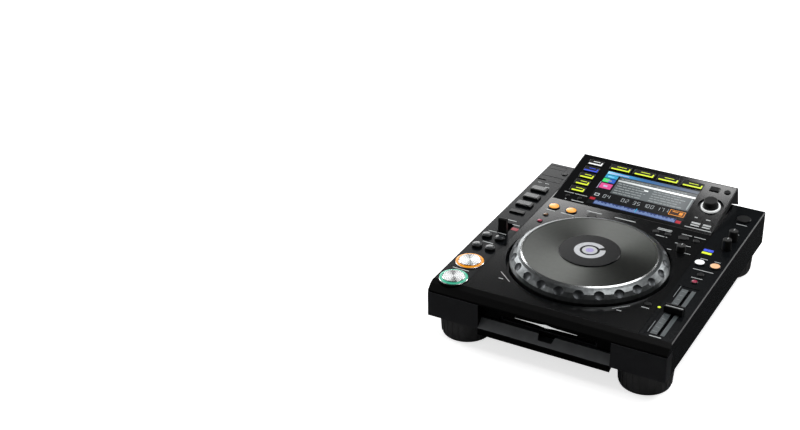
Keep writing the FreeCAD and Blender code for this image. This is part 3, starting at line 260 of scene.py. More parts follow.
def make_finishes():
    """Every finish of the player, named for what it is on the real thing; a few are named for the
    light and shade painted into them.
    """
    tint = colours()
    # Middle of the deck: black ABS from a polished mould, so a window shows as a soft glow on it.
    moulded("polished_abs_deck", tint.deck, 0.12, depth=0.000004)
    # Outer strips and side walls: black ABS from a blasted mould, duller and a little paler.
    moulded("blasted_abs_strip", tint.side_strip, 0.2, specular=0.07)
    # Front blocks: black ABS with a fine grain and a soft sheen.
    moulded("grained_abs_front", "#232427", 0.34)
    # Jaw over the slot: deep in the recess, so it is painted near-black as painted shade.
    moulded("jaw_painted_shade", "#050505", 0.4, specular=0.15)
    # Sloping lip under the slot: satin ABS whose dark grey is a painted reflection of the light it
    # catches from above.
    moulded("lip_painted_reflection", "#626466", 0.3)
    # Parting line on top of the front blocks: a painted highlight, a thin paler line where the
    # sharp edge of the moulding catches the light.
    moulded("edge_painted_highlight", "#3c3e41", 0.3)
    # Plate round the display: polished ABS under a clear coat, deep black with a mirrored glow.
    moulded("gloss_abs_display", tint.gloss, 0.1, grain=0.002, depth=0.000002, coat=0.3)
    # Shell of the display: satin ABS, an even black whose highlights are blurred.
    moulded("satin_abs_display_shell", "#0f1011", 0.3)
    # Feet: rubber scatters light widely, so they stay dull and dark grey.
    moulded("moulded_rubber", tint.rubber, 0.5, grain=0.0009, depth=0.00006, specular=0.4)
    # Small buttons and screws: black ABS with little shine, told from the deck by their edges.
    moulded("black_abs_cap", "#0c0d0e", 0.34, specular=0.22)
    # Knobs and lever: soft-touch paint, the dullest black, with no sharp highlight.
    moulded("soft_touch_knob", "#0d0e0e", 0.5, specular=0.35)
    # Inlays of hot keys, track and search buttons: smooth grey ABS that shows a small clear glint.
    moulded("grey_abs_inlay", "#2b2e30", 0.22)
    # Collar of the left socket: plain ivory ABS, the palest thing on the rear.
    moulded("ivory_abs", "#d8d6cf", 0.4)
    # Large caps: silver lacquer over turned marks, so the light fans out from the middle.
    metal("silver_lacquer_cap", tint.cap, 0.2, anisotropy=0.85)
    # Jog plate: turned and anodised aluminium, mid grey with brighter fans to two sides.
    metal("anodised_jog_plate", tint.jog_plate, 0.34, anisotropy=0.85, groove=0.00754)
    # Jog ring: chrome lacquer on plastic, which breaks the room's light into soft patches.
    metal("chrome_lacquer_ring", tint.jog_ring, 0.34, wobble=0.0003, spread=0.22)
    # Finger dimples: the same lacquer, rougher and painted darker, as painted shade in the hollows.
    metal("dimple_painted_shade", "#3f4143", 0.42, wobble=0.0002, spread=0.2)
    # Rim of the jog plate: bare turned aluminium, a bright line where it faces a lamp.
    metal("bright_turned_edge", "#c9cbcb", 0.22)
    # Chassis and drive: zinc-plated steel, light grey with soft reflections.
    metal("zinc_plated_steel", "#9a9ea2", 0.35)
    # Sockets: nickel plating, bright and a little warm.
    metal("nickel_plating", "#c2c0b8", 0.22)
    # Printed marks: matt off-white screen ink that stays pale whatever the deck mirrors.
    moulded("white_screen_ink", tint.print_ink, 0.5, spread=0.05)
    # Mark beside the lever and collar of the right socket: matt dull red.
    moulded("red_screen_ink", "#a32c3c", 0.5, spread=0.05)
    # Strips beside the slider: satin slate-grey ABS, so the slot between them reads black.
    moulded("scale_strip", "#4c5254", 0.4)
    # Ticks of the scale: grey ink, quieter than the white print.
    moulded("grey_screen_ink", "#8c9193", 0.5, spread=0.05)
    # Loop buttons: amber lens lit from behind, glowing evenly and warm. The collar of the digital
    # socket takes it too, and its glow is painted light.
    lit("amber_glow", tint.amber, 0.35)
    # Ring of the cue button: a deeper amber than the loop buttons have.
    lit("cue_lens", "#e8920e", 0.35)
    # Ring of the play button: green lens with a touch of blue.
    lit("green_lens", tint.green, 0.35)
    # Edges of the display's keys: lime lens, the strongest colour on the player.
    lit("lime_lens", tint.lime, 0.55)
    # One key and the link lamp: blue lens, which looks darker than the lime beside it.
    lit("blue_lens", tint.blue, 0.6)
    # Slot lamp, selector ring, one key and one round button: white lens, clear and cool.
    lit("white_lens", "#e6e8e8", 0.5)
    # Button beside the white one: pale orange lens, as a lamp behind milky plastic gives.
    lit("peach_lens", "#e9b58a", 0.35)
    # Slip button: its lens is unlit, so it shows as a dim brown, and its faint glow is painted
    # light.
    lit("brown_lens", "#5b3d1e", 0.2)
    # Small red buttons: dark crimson lens with a faint glow.
    lit("crimson_lens", "#93203f", 0.25)
    # Glass of the wheel's display: smoked acrylic, black until something behind it is lit.
    moulded("smoked_black", "#060708", 0.25, grain=0.003, depth=0.000002, specular=0.12)


def deselect():
    """Leaves edit mode and selects nothing."""
    if bpy.context.object and bpy.context.object.mode != "OBJECT":
        bpy.ops.object.mode_set(mode="OBJECT")
    bpy.ops.object.select_all(action="DESELECT")


def pick(piece):
    """Selects one piece alone and makes it the active one."""
    deselect()
    piece.select_set(True)
    bpy.context.view_layer.objects.active = piece


def leave_outward():
    """Points all faces of the open piece outwards and leaves edit mode."""
    bpy.ops.mesh.select_all(action="SELECT")
    bpy.ops.mesh.normals_make_consistent(inside=False)
    bpy.ops.object.mode_set(mode="OBJECT")


def paint(node, finish):
    """Gives a frame node its finish."""
    piece = NODES[node]
    if not piece.material_slots:
        piece.data.materials.append(FINISHES[finish])
    for slot in piece.material_slots:
        slot.material = FINISHES[finish]


def paint_faces(node, finish, chosen):
    """Gives one more finish to the faces of a frame node that pass a test on middle and normal."""
    piece = NODES[node]
    piece.data.materials.append(FINISHES[finish])
    last = len(piece.data.materials) - 1
    for face in piece.data.polygons:
        if chosen(face.center / MM, face.normal):
            face.material_index = last


def in_dimple(middle, _normal):
    """Whether a face of the jog ring lies on the ball that cut the nearest finger dimple."""
    slack = 0.1
    turn = math.radians(round(degrees_round(middle, JOG_Y) / DIMPLE_STEP) * DIMPLE_STEP)
    heart = Vector((DIMPLE_REACH * math.cos(turn), JOG_Y + DIMPLE_REACH * math.sin(turn),
                    DIMPLE_LEVEL))
    return (middle - heart).length < DIMPLE_BALL + slack


def put(piece, x, y, z, turn=0.0, tilt=0.0):
    """Sets a piece down at a place in millimetres, turned about Z after tilting about X."""
    piece.matrix_world = (Matrix.Translation((x * MM, y * MM, z * MM))
                          @ Matrix.Rotation(math.radians(turn), 4, "Z")
                          @ Matrix.Rotation(math.radians(tilt), 4, "X"))
    return piece


def settle(piece):
    """Moves the object's place into its mesh, so that the object lies at the origin."""
    pick(piece)
    bpy.context.view_layer.update()
    bpy.ops.object.transform_apply(location=True, rotation=True, scale=True)
    return piece


def twin(piece):
    """Copy of a piece with its own mesh."""
    other = piece.copy()
    other.data = piece.data.copy()
    bpy.context.scene.collection.objects.link(other)
    return other


def slab(name, x, y, wide, deep, low, thick, corner=0.0):
    """Thin plate with rounded corners, drawn flat: plane, vertex bevel, extrude."""
    deselect()
    bpy.ops.mesh.primitive_plane_add(size=1.0)
    piece = bpy.context.object
    piece.name = name
    bpy.ops.object.mode_set(mode="EDIT")
    bpy.ops.transform.resize(value=(wide * MM, deep * MM, 1.0))
    if corner:
        bpy.ops.mesh.bevel(affect="VERTICES", offset=corner * MM, segments=3)
    bpy.ops.mesh.extrude_region_move(TRANSFORM_OT_translate={"value": (0, 0, thick * MM)})
    leave_outward()
    return put(piece, x, y, low)


def plates(name, rows):
    """Many thin plates in one piece: one block, copied and stretched to each row's
    left, right, front, back, low, thickness and turn."""
    block = slab(name, 0, 0, 1.0, 1.0, 0, 1.0)
    pieces = [block] + [twin(block) for _ in rows[1:]]
    for piece, (left, right, front, back, low, thick, turn) in zip(pieces, rows):
        put(piece, (left + right) / 2, (front + back) / 2, low, turn)
        piece.matrix_world = piece.matrix_world @ Matrix.Diagonal(
            (right - left, back - front, thick, 1.0))
    return join(pieces, name)


def turned(name, profile, x=0.0, y=0.0, segments=96, capped=False):
    """Turned piece: a circle, extruded and resized ring by ring, closed or capped at its ends."""
    deselect()
    radius, height = profile[0]
    bpy.ops.mesh.primitive_circle_add(vertices=segments, radius=radius * MM)
    piece = bpy.context.object
    piece.name = name
    bpy.ops.object.mode_set(mode="EDIT")
    bpy.context.tool_settings.mesh_select_mode = (False, True, False)
    bpy.ops.mesh.select_all(action="SELECT")
    bpy.ops.transform.translate(value=(0, 0, height * MM))
    if capped:
        bpy.ops.mesh.edge_face_add()
    for new_radius, new_height in profile[1:]:
        step = (0, 0, (new_height - height) * MM)
        bpy.ops.mesh.extrude_region_move(TRANSFORM_OT_translate={"value": step})
        ratio = new_radius / radius
        bpy.ops.transform.resize(value=(ratio, ratio, 1.0),
                                 center_override=(0, 0, new_height * MM))
        radius, height = new_radius, new_height
    if capped:
        bpy.ops.mesh.edge_face_add()
    bpy.ops.mesh.select_all(action="SELECT")
    bpy.ops.mesh.remove_doubles(threshold=1e-7)
    leave_outward()
    return put(piece, x, y, 0)


def in_edit_mode(piece, chosen):
    """Opens a piece in edit mode with only the faces selected that pass a test on their middle."""
    pick(piece)
    bpy.ops.object.mode_set(mode="EDIT")
    bpy.context.tool_settings.mesh_select_mode = (False, False, True)
    bpy.ops.mesh.select_all(action="DESELECT")
    bpy.ops.object.mode_set(mode="OBJECT")
    for face in piece.data.polygons:
        face.select = chosen(face.center / MM)
    bpy.ops.object.mode_set(mode="EDIT")


def degrees_round(spot, y=0.0):
    """Angle of a point round the Z axis, in degrees."""
    return math.degrees(math.atan2(spot.y - y, spot.x))


def smooth(piece, angle=35):
    """Shades a piece smooth wherever its faces meet at less than an angle in degrees."""
    pick(piece)
    bpy.ops.object.shade_smooth_by_angle(angle=math.radians(angle))


def lean(piece):
    """Moves a piece drawn flat, in distances up the display's face, onto that face."""
    piece.matrix_world = SLOPE @ piece.matrix_world
    return piece


def join(pieces, name):
    """Makes several pieces one, settled at the origin under a name."""
    deselect()
    for piece in pieces:
        piece.select_set(True)
    bpy.context.view_layer.objects.active = pieces[0]
    bpy.context.view_layer.update()
    if len(pieces) > 1:
        bpy.ops.object.join()
    pieces[0].name = name
    return settle(pieces[0])


def done(piece, finish, body):
    """Last steps of a new piece: its place, its finish and the body that it rides on."""
    settle(piece)
    piece.data.materials.clear()
    piece.data.materials.append(FINISHES[finish])
    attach(piece, body)
    return piece


class StageOperator(bpy.types.Operator):
    """Camera at the photograph's angle, a pale floor and soft lamps"""
    bl_idname = "player.stage"
    bl_label = "Stage"

    def execute(self, context):
        # The camera was fitted to corners of the casing seen in the photograph.
        camera = bpy.data.cameras.new("camera")
        camera.lens = 66.288
        camera.sensor_width = 36.0
        camera.shift_x = -0.01196
        camera.shift_y = 0.00121
        camera.clip_end = 50.0
        holder = bpy.data.objects.new("camera", camera)
        holder.location = (0.6045, -1.59213, 1.05735)
        holder.rotation_euler = [math.radians(turn) for turn in (60.921, 0.807, 29.153)]
        context.scene.collection.objects.link(holder)
        context.scene.camera = holder
        deselect()
        bpy.ops.mesh.primitive_plane_add(size=12.0, location=(0, 0, -0.0005))
        floor = context.object
        floor.name = "floor"
        floor.data.materials.append(self.floor_paper())
        world = bpy.data.worlds.new("soft_room")
        world.use_nodes = True
        context.scene.world = world
        back = world.node_tree.nodes["Background"]
        # The room is white to the camera alone, and nearly dark to everything it lights.
        path = add_node(world, "ShaderNodeLightPath")
        seen = add_node(world, "ShaderNodeMapRange", {"To Min": 0.05, "To Max": 1.0},
                        {"Value": (path, "Is Camera Ray")})
        world.node_tree.links.new(seen.outputs["Result"], back.inputs["Strength"])
        back.inputs["Color"].default_value = (1, 1, 1, 1)
        # name, place and size in metres, power in watts and the point that each lamp faces
        lamps = (("rear_left_panel", (-2.43, 3.61, 1.44), (1.9, 1.8), 60.0, (0, 0, 0.08)),
                 ("rear_glow", (-0.73, 2.95, 2.78), (0.56, 0.42), 5.0, (0.1, 0.16, 0.09)),
                 ("top_panel", (0.7, 0.3, 2.3), (2.0, 1.6), 40.0, (0, 0, 0)),
                 ("left_panel", (-2.2, 0.5, 0.9), (1.4, 0.9), 26.0, (0, 0, 0.1)),
                 ("front_left_panel", (-1.7, -1.3, 1.4), (1.4, 1.0), 4.5, (0, 0, 0.05)),
                 ("right_panel", (1.4, 2.1, 0.85), (1.0, 0.8), 22.0, (0, 0, 0.1)))
        for name, place, (wide, tall), power, target in lamps:
            lamp = bpy.data.lights.new(name, "AREA")
            lamp.shape = "RECTANGLE"
            lamp.size, lamp.size_y = wide, tall
            lamp.energy = power
            stand = bpy.data.objects.new(name, lamp)
            stand.location = place
            stand.rotation_euler = (Vector(target) - Vector(place)).to_track_quat(
                "-Z", "Y").to_euler()
            context.scene.collection.objects.link(stand)
        context.scene.view_settings.view_transform = "Standard"
        return {"FINISHED"}

    def floor_paper(self):
        """White paper sweep: seen as white, and still taking the player's shadow."""
        material = new_material("white_paper_sweep")
        place = add_node(material, "ShaderNodeTexCoord")
        noise = add_node(material, "ShaderNodeTexNoise", {"Scale": 3.0},
                         {"Vector": (place, "Object")})
        ramp = add_node(material, "ShaderNodeValToRGB", {}, {"Fac": (noise, "Fac")})
        ramp.color_ramp.elements[0].color = (0.80, 0.80, 0.80, 1)
        ramp.color_ramp.elements[1].color = (0.84, 0.84, 0.84, 1)
        diffuse = add_node(material, "ShaderNodeBsdfDiffuse", {}, {"Color": (ramp, "Color")})
        glow = add_node(material, "ShaderNodeEmission", {"Strength": 0.72})
        path = add_node(material, "ShaderNodeLightPath")
        both = add_node(material, "ShaderNodeAddShader", {}, {0: (diffuse, 0), 1: (glow, 0)})
        # A polished deck would mirror a white floor, so mirrors see a dark one.
        dim = add_node(material, "ShaderNodeBsdfDiffuse", {"Color": (0.05, 0.05, 0.05, 1)})
        bounce = add_node(material, "ShaderNodeMixShader", {},
                          {0: (path, "Is Glossy Ray"), 1: (diffuse, 0), 2: (dim, 0)})
        mix = add_node(material, "ShaderNodeMixShader", {},
                       {0: (path, "Is Camera Ray"), 1: (bounce, 0), 2: (both, 0)})
        output = add_node(material, "ShaderNodeOutputMaterial")
        material.node_tree.links.new(mix.outputs[0], output.inputs["Surface"])
        return material


class FinishOperator(bpy.types.Operator):
    """Finishes of the frame's own parts: casing, wheel, caps, knobs and fittings"""
    bl_idname = "player.finishes"
    bl_label = "Finishes"

    def execute(self, context):
        make_finishes()
        for node in NODES:
            paint(node, "black_abs_cap")
        plan = {
            "blasted_abs_strip": ("top_case", "usb_cover", "card_door"),
            "grained_abs_front": ("front_panel",), "moulded_rubber": ("feet",),
            "zinc_plated_steel": ("bottom_chassis", "disc_drive"),
            "satin_abs_display_shell": ("display_housing",),
            "gloss_abs_display": ("display_panel",), "smoked_black": ("jog_display",),
            "nickel_plating": ("socket_board",), "chrome_lacquer_ring": ("jog_ring",),
            "anodised_jog_plate": ("jog_plate",),
            "silver_lacquer_cap": ("cue_button", "play_button"),
            "soft_touch_knob": ("selector_knob", "brake_knob", "release_knob",
                                "jog_adjust_knob", "direction_lever")}
        for finish, nodes in plan.items():
            for node in nodes:
                paint(node, finish)
        paint_faces("top_case", "polished_abs_deck", lambda middle, normal:
                    abs(middle.x) < SEAM_X and middle.z > DECK - 1 and normal.z > 0.9)
        # Painted shade: faces of the top case's jaw that lie deep in the recess get a near-black
        # finish.
        paint_faces("top_case", "jaw_painted_shade", lambda middle, normal:
                    middle.y < JAW_FRONT and middle.z > JAW_FOOT
                    and (normal.y < -0.1 or normal.z < 0))
        # Painted shade: the recess walls of the front panel take the same near-black.
        paint_faces("front_panel", "jaw_painted_shade", lambda middle, normal:
                    abs(middle.x) < RECESS_HALF
                    and (abs(normal.y) > 0.9 or abs(normal.x) > 0.9))
        # Painted reflection: the sloping lip under the slot gets a grey finish.
        paint_faces("front_panel", "lip_painted_reflection", lambda middle, normal:
                    abs(middle.x) < RECESS_HALF and middle.y < LIP_FRONT
                    and 0.3 < normal.z < 0.95)
        # Painted shade: faces in the finger dimples take a darker finish.
        paint_faces("jog_ring", "dimple_painted_shade", in_dimple)
        paint_faces("jog_ring", "anodised_jog_plate", lambda middle, normal:
                    middle.z > RING_CREST and normal.z > 0.95)
        return {"FINISHED"}


class DeckPrintOperator(bpy.types.Operator):
    """Printed marks on the deck: plain bars beside each control"""
    bl_idname = "player.deck_print"
    bl_label = "Deck print"

    def execute(self, context):
        rise = sizes().print_height / MM
        half_line = 0.4
        marks = [(left, right, y - tall / 2, y + tall / 2, DECK, rise, 0.0)
                 for left, right, y, tall in DECK_BARS]
        for x0, y0, x1, y1 in DECK_LINES:
            half, x, y = math.hypot(x1 - x0, y1 - y0) / 2, (x0 + x1) / 2, (y0 + y1) / 2
            turn = math.degrees(math.atan2(y1 - y0, x1 - x0))
            marks.append((x - half, x + half, y - half_line, y + half_line, DECK, rise, turn))
        done(plates("deck_print", marks), "white_screen_ink", "casing")
        red = slab("reverse_mark", -121.9, -28.0, 9.4, 7.0, DECK, 0.12, 1.0)
        done(red, "red_screen_ink", "casing")
        return {"FINISHED"}


class DisplayOperator(bpy.types.Operator):
    """Picture on the display: title bar, list, time digits and wave bar, all generic"""
    bl_idname = "player.display"
    bl_label = "Display"

    def execute(self, context):
        # Layers of the picture: flat colours lit from behind, crisp and free of texture.
        for name, (colour, strength, across) in SCREEN_TONES.items():
            lit(name, colour, strength, 0.2, across)
        sunk, layer = -0.3, 0.04
        groups = {}
        for tone, left, right, low, high, level in [*SCREEN_AREAS, *self.words(), *self.wave()]:
            groups.setdefault(tone, []).append(
                (left, right, low, high, sunk + layer * level, layer, 0.0))
        for x, number in SCREEN_DIGITS:
            groups["screen_digit"].extend(self.digit(x, 26.5, number))
        for tone, rows in groups.items():
            done(lean(plates(tone + "_area", rows)), tone, "casing")
        return {"FINISHED"}

    def words(self):
        """Short bars of uneven length that stand for the lines of a list."""
        bars = []
        for row in range(6):
            low = 74.6 - 6.2 * row if row == 0 else 68.6 - 5.4 * row
            for left, right in ((-42.0, 2.0), (10.0, 58.0)):
                x, step = left, row
                while x < right - 6 * ((row + int(left)) % 3):
                    length = 3.0 + (step * 5 + row * 3) % 6
                    bars.append(("screen_word", x, x + length, low, low + 1.5, 2))
                    x += length + 1.3
                    step += 1
        return bars

    def wave(self):
        """Upright bars of uneven height along the foot of the picture."""
        bars = []
        for index in range(78):
            x = -57.0 + 1.5 * index
            height = 5.6 + 1.3 * math.sin(index * 1.7) + 0.9 * math.sin(index * 0.53)
            bars.append(("screen_wave", x, x + 1.15, 9.6, 9.6 + height, 2))
        return bars

    def digit(self, x, v, number):
        """Seven-segment figure made of bars, its middle at x and its foot at v."""
        segments = {0: "abcdef", 1: "bc", 2: "abged", 3: "abgcd", 4: "fgbc", 5: "afgcd",
                    7: "abc"}[number]
        wide, tall, half_bar = 3.4, 7.0, 0.25
        places = {"a": (0, tall, 1), "d": (0, 0, 1), "g": (0, tall / 2, 1),
                  "b": (wide / 2, tall * 0.75, 0), "c": (wide / 2, tall * 0.25, 0),
                  "e": (-wide / 2, tall * 0.25, 0), "f": (-wide / 2, tall * 0.75, 0)}
        bars = []
        for segment in segments:
            dx, dv, flat = places[segment]
            half_wide, half_tall = (wide / 2, half_bar) if flat else (half_bar, tall / 4)
            bars.append((x + dx - half_wide, x + dx + half_wide, v + dv - half_tall,
                         v + dv + half_tall, -0.18, 0.04, 0.0))
        return bars


class LitKeyOperator(bpy.types.Operator):
    """Lit strips on the keys of the display, and plain marks beside them"""
    bl_idname = "player.lit_keys"
    bl_label = "Lit keys"

    def execute(self, context):
        # Each key has a lit foot and a lit right end; its top is this far above the plate.
        top, thick = 1.4, 0.3
        for node, (x, v, wide, trim, lens) in LIT_KEYS.items():
            left, right = x - wide / 2 + trim, x + wide / 2 - 0.8
            strip = slab("lens", (left + right) / 2, v - 4.6, right - left, 2.6, top, thick, 0.5)
            side = slab("lens", right - 0.9, v - 1.6, 1.8, 6.0, top, thick, 0.5)
            done(lean(join([strip, side], node + "_lens")), lens, node)
            word = slab(node + "_mark", x + trim / 2, v + 1.6, wide * 0.45, 1.2, top, 0.1, 0.3)
            done(lean(word), lens, node)
        marks = [(left, right, v - tall / 2, v + tall / 2, 0.0, 0.1, 0.0)
                 for left, right, v, tall in DISPLAY_BARS]
        done(lean(plates("display_print", marks)), "white_screen_ink", "casing")
        return {"FINISHED"}


class TransportOperator(bpy.types.Operator):
    """Lit rings of the two large buttons and the inlays of the small ones"""
    bl_idname = "player.transport"
    bl_label = "Transport buttons"

    def execute(self, context):
        for node, lens, y in (("cue_button", "cue_lens", -130.8),
                              ("play_button", "green_lens", -176.0)):
            ring = turned(node + "_lens", [
                (14.9, DECK + 1.0), (14.9, DECK + 1.5), (15.4, DECK + 1.75), (17.6, DECK + 1.7),
                (18.3, DECK + 1.3), (18.3, DECK + 1.0), (14.9, DECK + 1.0)], TRANSPORT_X, y)
            smooth(ring)
            done(ring, lens, node)
        for node, (x, y, rise, inner, finish) in BUTTON_INLAYS.items():
            dome = turned(node + "_inlay", [
                (inner, DECK + rise), (inner, DECK + rise + 0.2),
                (inner * 0.85, DECK + rise + 0.45), (inner * 0.4, DECK + rise + 0.6)],
                x, y, 48, capped=True)
            smooth(dome)
            done(dome, finish, node)
        for node, y in (("hot_key_1", 88.5), ("hot_key_2", 64.0), ("hot_key_3", 39.5)):
            inlay = slab(node + "_inlay", -140.2, y + 0.6, 20.0, 10.0, DECK + 3.2, 0.35, 1.5)
            done(inlay, "grey_abs_inlay", node)
        return {"FINISHED"}


class JogOperator(bpy.types.Operator):
    """Bright edge of the jog wheel and the rings of its centre display"""
    bl_idname = "player.jog"
    bl_label = "Jog wheel"

    def execute(self, context):
        rim = turned("jog_bright_edge", [
            (85.4, 94.8), (85.4, 95.8), (87.0, 95.8), (88.9, 94.7), (85.4, 94.8)],
            0, JOG_Y, 192)
        smooth(rim, 20)
        done(rim, "bright_turned_edge", "jog_wheel")
        rim.data.materials.append(FINISHES["anodised_jog_plate"])
        for face in rim.data.polygons:
            face.material_index = 1 if face.normal.z > 0.95 else 0
        # Arc and spot of the wheel's display: pale grey light, as behind a smoked window.
        lit("jog_pale_light", "#a6a8ab", 0.35)
        # Core of that display: the same light seen through a lilac filter.
        lit("jog_lilac_light", "#8f86b5", 0.35)
        low, middle, high = JOG_GLASS, JOG_GLASS + 0.15, JOG_GLASS + 0.3
        ring = turned("jog_display_arc", [
            (13.0, low), (13.0, middle), (20.2, middle), (20.2, low), (13.0, low)],
            0, JOG_Y, 72)
        self.open_arc(ring)
        done(ring, "jog_pale_light", "casing")
        spot = turned("jog_display_spot", [(9.8, low), (9.8, middle), (4.0, middle)],
                      0, JOG_Y, 64, capped=True)
        done(spot, "jog_pale_light", "casing")
        core = turned("jog_display_core", [(5.2, middle), (5.2, high), (2.0, high)],
                      0, JOG_Y, 48, capped=True)
        done(core, "jog_lilac_light", "casing")
        return {"FINISHED"}

    def open_arc(self, ring):
        """Cuts a gap at the upper right of the ring and closes its two ends."""
        in_edit_mode(ring, lambda middle: 24 < degrees_round(middle) < 46)
        bpy.ops.mesh.delete(type="FACE")
        bpy.ops.mesh.select_all(action="SELECT")
        bpy.ops.mesh.fill_holes(sides=0)
        leave_outward()


class TempoOperator(bpy.types.Operator):
    """Scale strips of the tempo slider, its ticks and the line on its cap"""
    bl_idname = "player.tempo"
    bl_label = "Tempo slider"

    def execute(self, context):
        # The strips lie in a sunk field beside the slider's slot.
        low, rise, ink, front, back = DECK - 0.5, 0.25, 0.1, -178.0, -66.0
        strips = [(127.7, 136.3, front, back, low, rise, 0.0),
                  (140.5, 145.9, front, back, low, rise, 0.0)]
        done(plates("tempo_scale", strips), "scale_strip", "casing")
        ticks = []
        middle, first, step, half_tick = 132.0, -172.0, 10.0, 0.35
        for index in range(11):
            y, half = first + index * step, 3.0 if index % 5 == 0 else 2.0
            ticks.append((middle - half, middle + half, y - half_tick, y + half_tick,
                          low + rise, ink, 0.0))
        done(plates("tempo_ticks", ticks), "grey_screen_ink", "casing")
        edges = [(124.0, 124.7, -89.0, -55.0, low, ink, 0.0),
                 (124.0, 124.7, -176.0, -150.0, low, ink, 0.0)]
        done(plates("tempo_scale_line", edges), "grey_screen_ink", "casing")
        line = slab("slider_line", SLIDER_X, -123.5, 22.0, 1.3, DECK + 7.85, 0.25, 0.2)
        done(line, "white_screen_ink", "tempo_slider")
        return {"FINISHED"}


class KnobOperator(bpy.types.Operator):
    """Pointer lines of the knobs and the lit ring round the selector"""
    bl_idname = "player.knobs"
    bl_label = "Knobs"

    def execute(self, context):
        reach, wide, long, sunk, thick = 3.1, 1.0, 4.4, 0.55, 0.35
        for node, x, y, rise in (("brake_knob", 145.0, 79.0, 15.0),
                                 ("release_knob", 145.0, 53.0, 15.0),
                                 ("jog_adjust_knob", 94.0, 22.0, 8.5)):
            low = DECK + rise - sunk
            pointer = slab(node + "_pointer", x, y + reach, wide, long, low, thick)
            done(pointer, "white_screen_ink", node)
        ring = turned("selector_light_ring", [
            (10.9, -2.9), (10.9, -0.6), (11.4, -0.3), (12.9, -0.3), (13.4, -0.7), (13.4, -2.9),
            (10.9, -2.9)], 93.0, 62.0, 96)
        smooth(ring)
        done(lean(ring), "white_lens", "casing")
        return {"FINISHED"}


class LampOperator(bpy.types.Operator):
    """Indicator lamps on the deck, the lamp over the disc slot and painted highlights on the front
    blocks' top edges
    """
    bl_idname = "player.lamps"
    bl_label = "Lamps"

    def execute(self, context):
        done(slab("link_lamp", 126.0, 38.0, 13.0, 5.6, DECK, 0.4, 0.6), "blue_lens", "casing")
        done(slab("beat_lamp", 126.0, 30.6, 13.0, 4.6, DECK, 0.4, 0.6), "lime_lens", "casing")
        lamp = turned("tempo_lamp", [(2.0, DECK), (2.0, DECK + 0.4), (1.0, DECK + 0.7)],
                      117.9, -120.2, 32, capped=True)
        done(lamp, "lime_lens", "casing")
        done(self.slot_strip(), "white_lens", "casing")
        # Painted highlight: a thin pale strip along the top edge of each front block, where that
        # edge catches the light.
        outer, front, back, low, thick = 159.6, -203.15, -202.6, 65.55, 0.45
        rows = [(-outer, -BLOCK_EDGE, front, back, low, thick, 0.0),
                (BLOCK_EDGE, outer, front, back, low, thick, 0.0)]
        done(plates("block_edge_highlights", rows), "edge_painted_highlight", "casing")
        return {"FINISHED"}

    def slot_strip(self):
        """Long lens over the slot, thick in the middle and drawn out to both ends."""
        long, tall, thick = 84, 1.5, 0.3
        deselect()
        bpy.ops.mesh.primitive_grid_add(x_subdivisions=60, y_subdivisions=2, size=1.0)
        strip = bpy.context.object
        strip.name = "slot_lamp"
        bpy.ops.object.mode_set(mode="EDIT")
        bpy.ops.transform.resize(value=(long * MM, tall * MM, 1.0))
        bpy.context.tool_settings.mesh_select_mode = (True, False, False)
        # share of the height, how far it fades out and the place along the strip
        for share, reach, place in ((3.0, 16, 0), (0.2, 36, -long / 2), (0.2, 36, long / 2)):
            bpy.ops.mesh.select_all(action="DESELECT")
            bpy.ops.object.mode_set(mode="OBJECT")
            for vertex in strip.data.vertices:
                vertex.select = abs(vertex.co.x - place * MM) < 0.5 * MM
            bpy.ops.object.mode_set(mode="EDIT")
            bpy.ops.transform.resize(
                value=(1.0, share, 1.0), center_override=(0, 0, 0), use_proportional_edit=True,
                proportional_edit_falloff="SHARP" if share > 1 else "SMOOTH",
                proportional_size=reach * MM)
        bpy.ops.mesh.select_all(action="SELECT")
        bpy.ops.mesh.extrude_region_move(TRANSFORM_OT_translate={"value": (0, 0, thick * MM)})
        leave_outward()
        return put(strip, -2.0, -189.0, 53.2, tilt=90)


class RearOperator(bpy.types.Operator):
    """Coloured collars round the rear sockets, and the screws of the casing"""
    bl_idname = "player.rear"
    bl_label = "Rear and underside"

    def execute(self, context):
        for name, x, finish in (("left_collar", 112.0, "ivory_abs"),
                                ("right_collar", 94.0, "red_screen_ink"),
                                # The digital collar's amber finish glows: painted light, as the
                                # collar is no lamp.
                                ("digital_collar", 68.0, "amber_glow")):
            collar = turned(name, [(4.25, 0), (4.25, 1.6), (6.0, 1.6), (6.3, 0.6), (6.3, 0),
                                   (4.25, 0)], 0, 0, 48)
            put(collar, x, REAR_WALL, SOCKET_LEVEL, tilt=-90)
            smooth(collar)
            done(collar, finish, "casing")
        screw = self.screw()
        spots = [(x, REAR_WALL, z, -90) for x, z in REAR_SCREWS]
        spots += [(x, y, FLOOR_OF_CASE, 180) for x, y in FLOOR_SCREWS]
        screws = [screw] + [twin(screw) for _ in spots[1:]]
        for piece, (x, y, z, tilt) in zip(screws, spots):
            put(piece, x, y, z, tilt=tilt)
        done(join(screws, "casing_screws"), "black_abs_cap", "casing")
        return {"FINISHED"}

    def screw(self):
        """Pan head with a raised cross, drawn lying on the floor."""
        head = turned("screw", [(3.0, 0), (3.0, 0.7), (2.3, 1.3), (1.0, 1.5)], 0, 0, 24,
                      capped=True)
        cross = plates("cross", [(-1.3, 1.3, -0.3, 0.3, 1.45, 0.12, 0.0),
                                 (-0.3, 0.3, -1.3, 1.3, 1.45, 0.12, 0.0)])
        return join([head, cross], "screw")


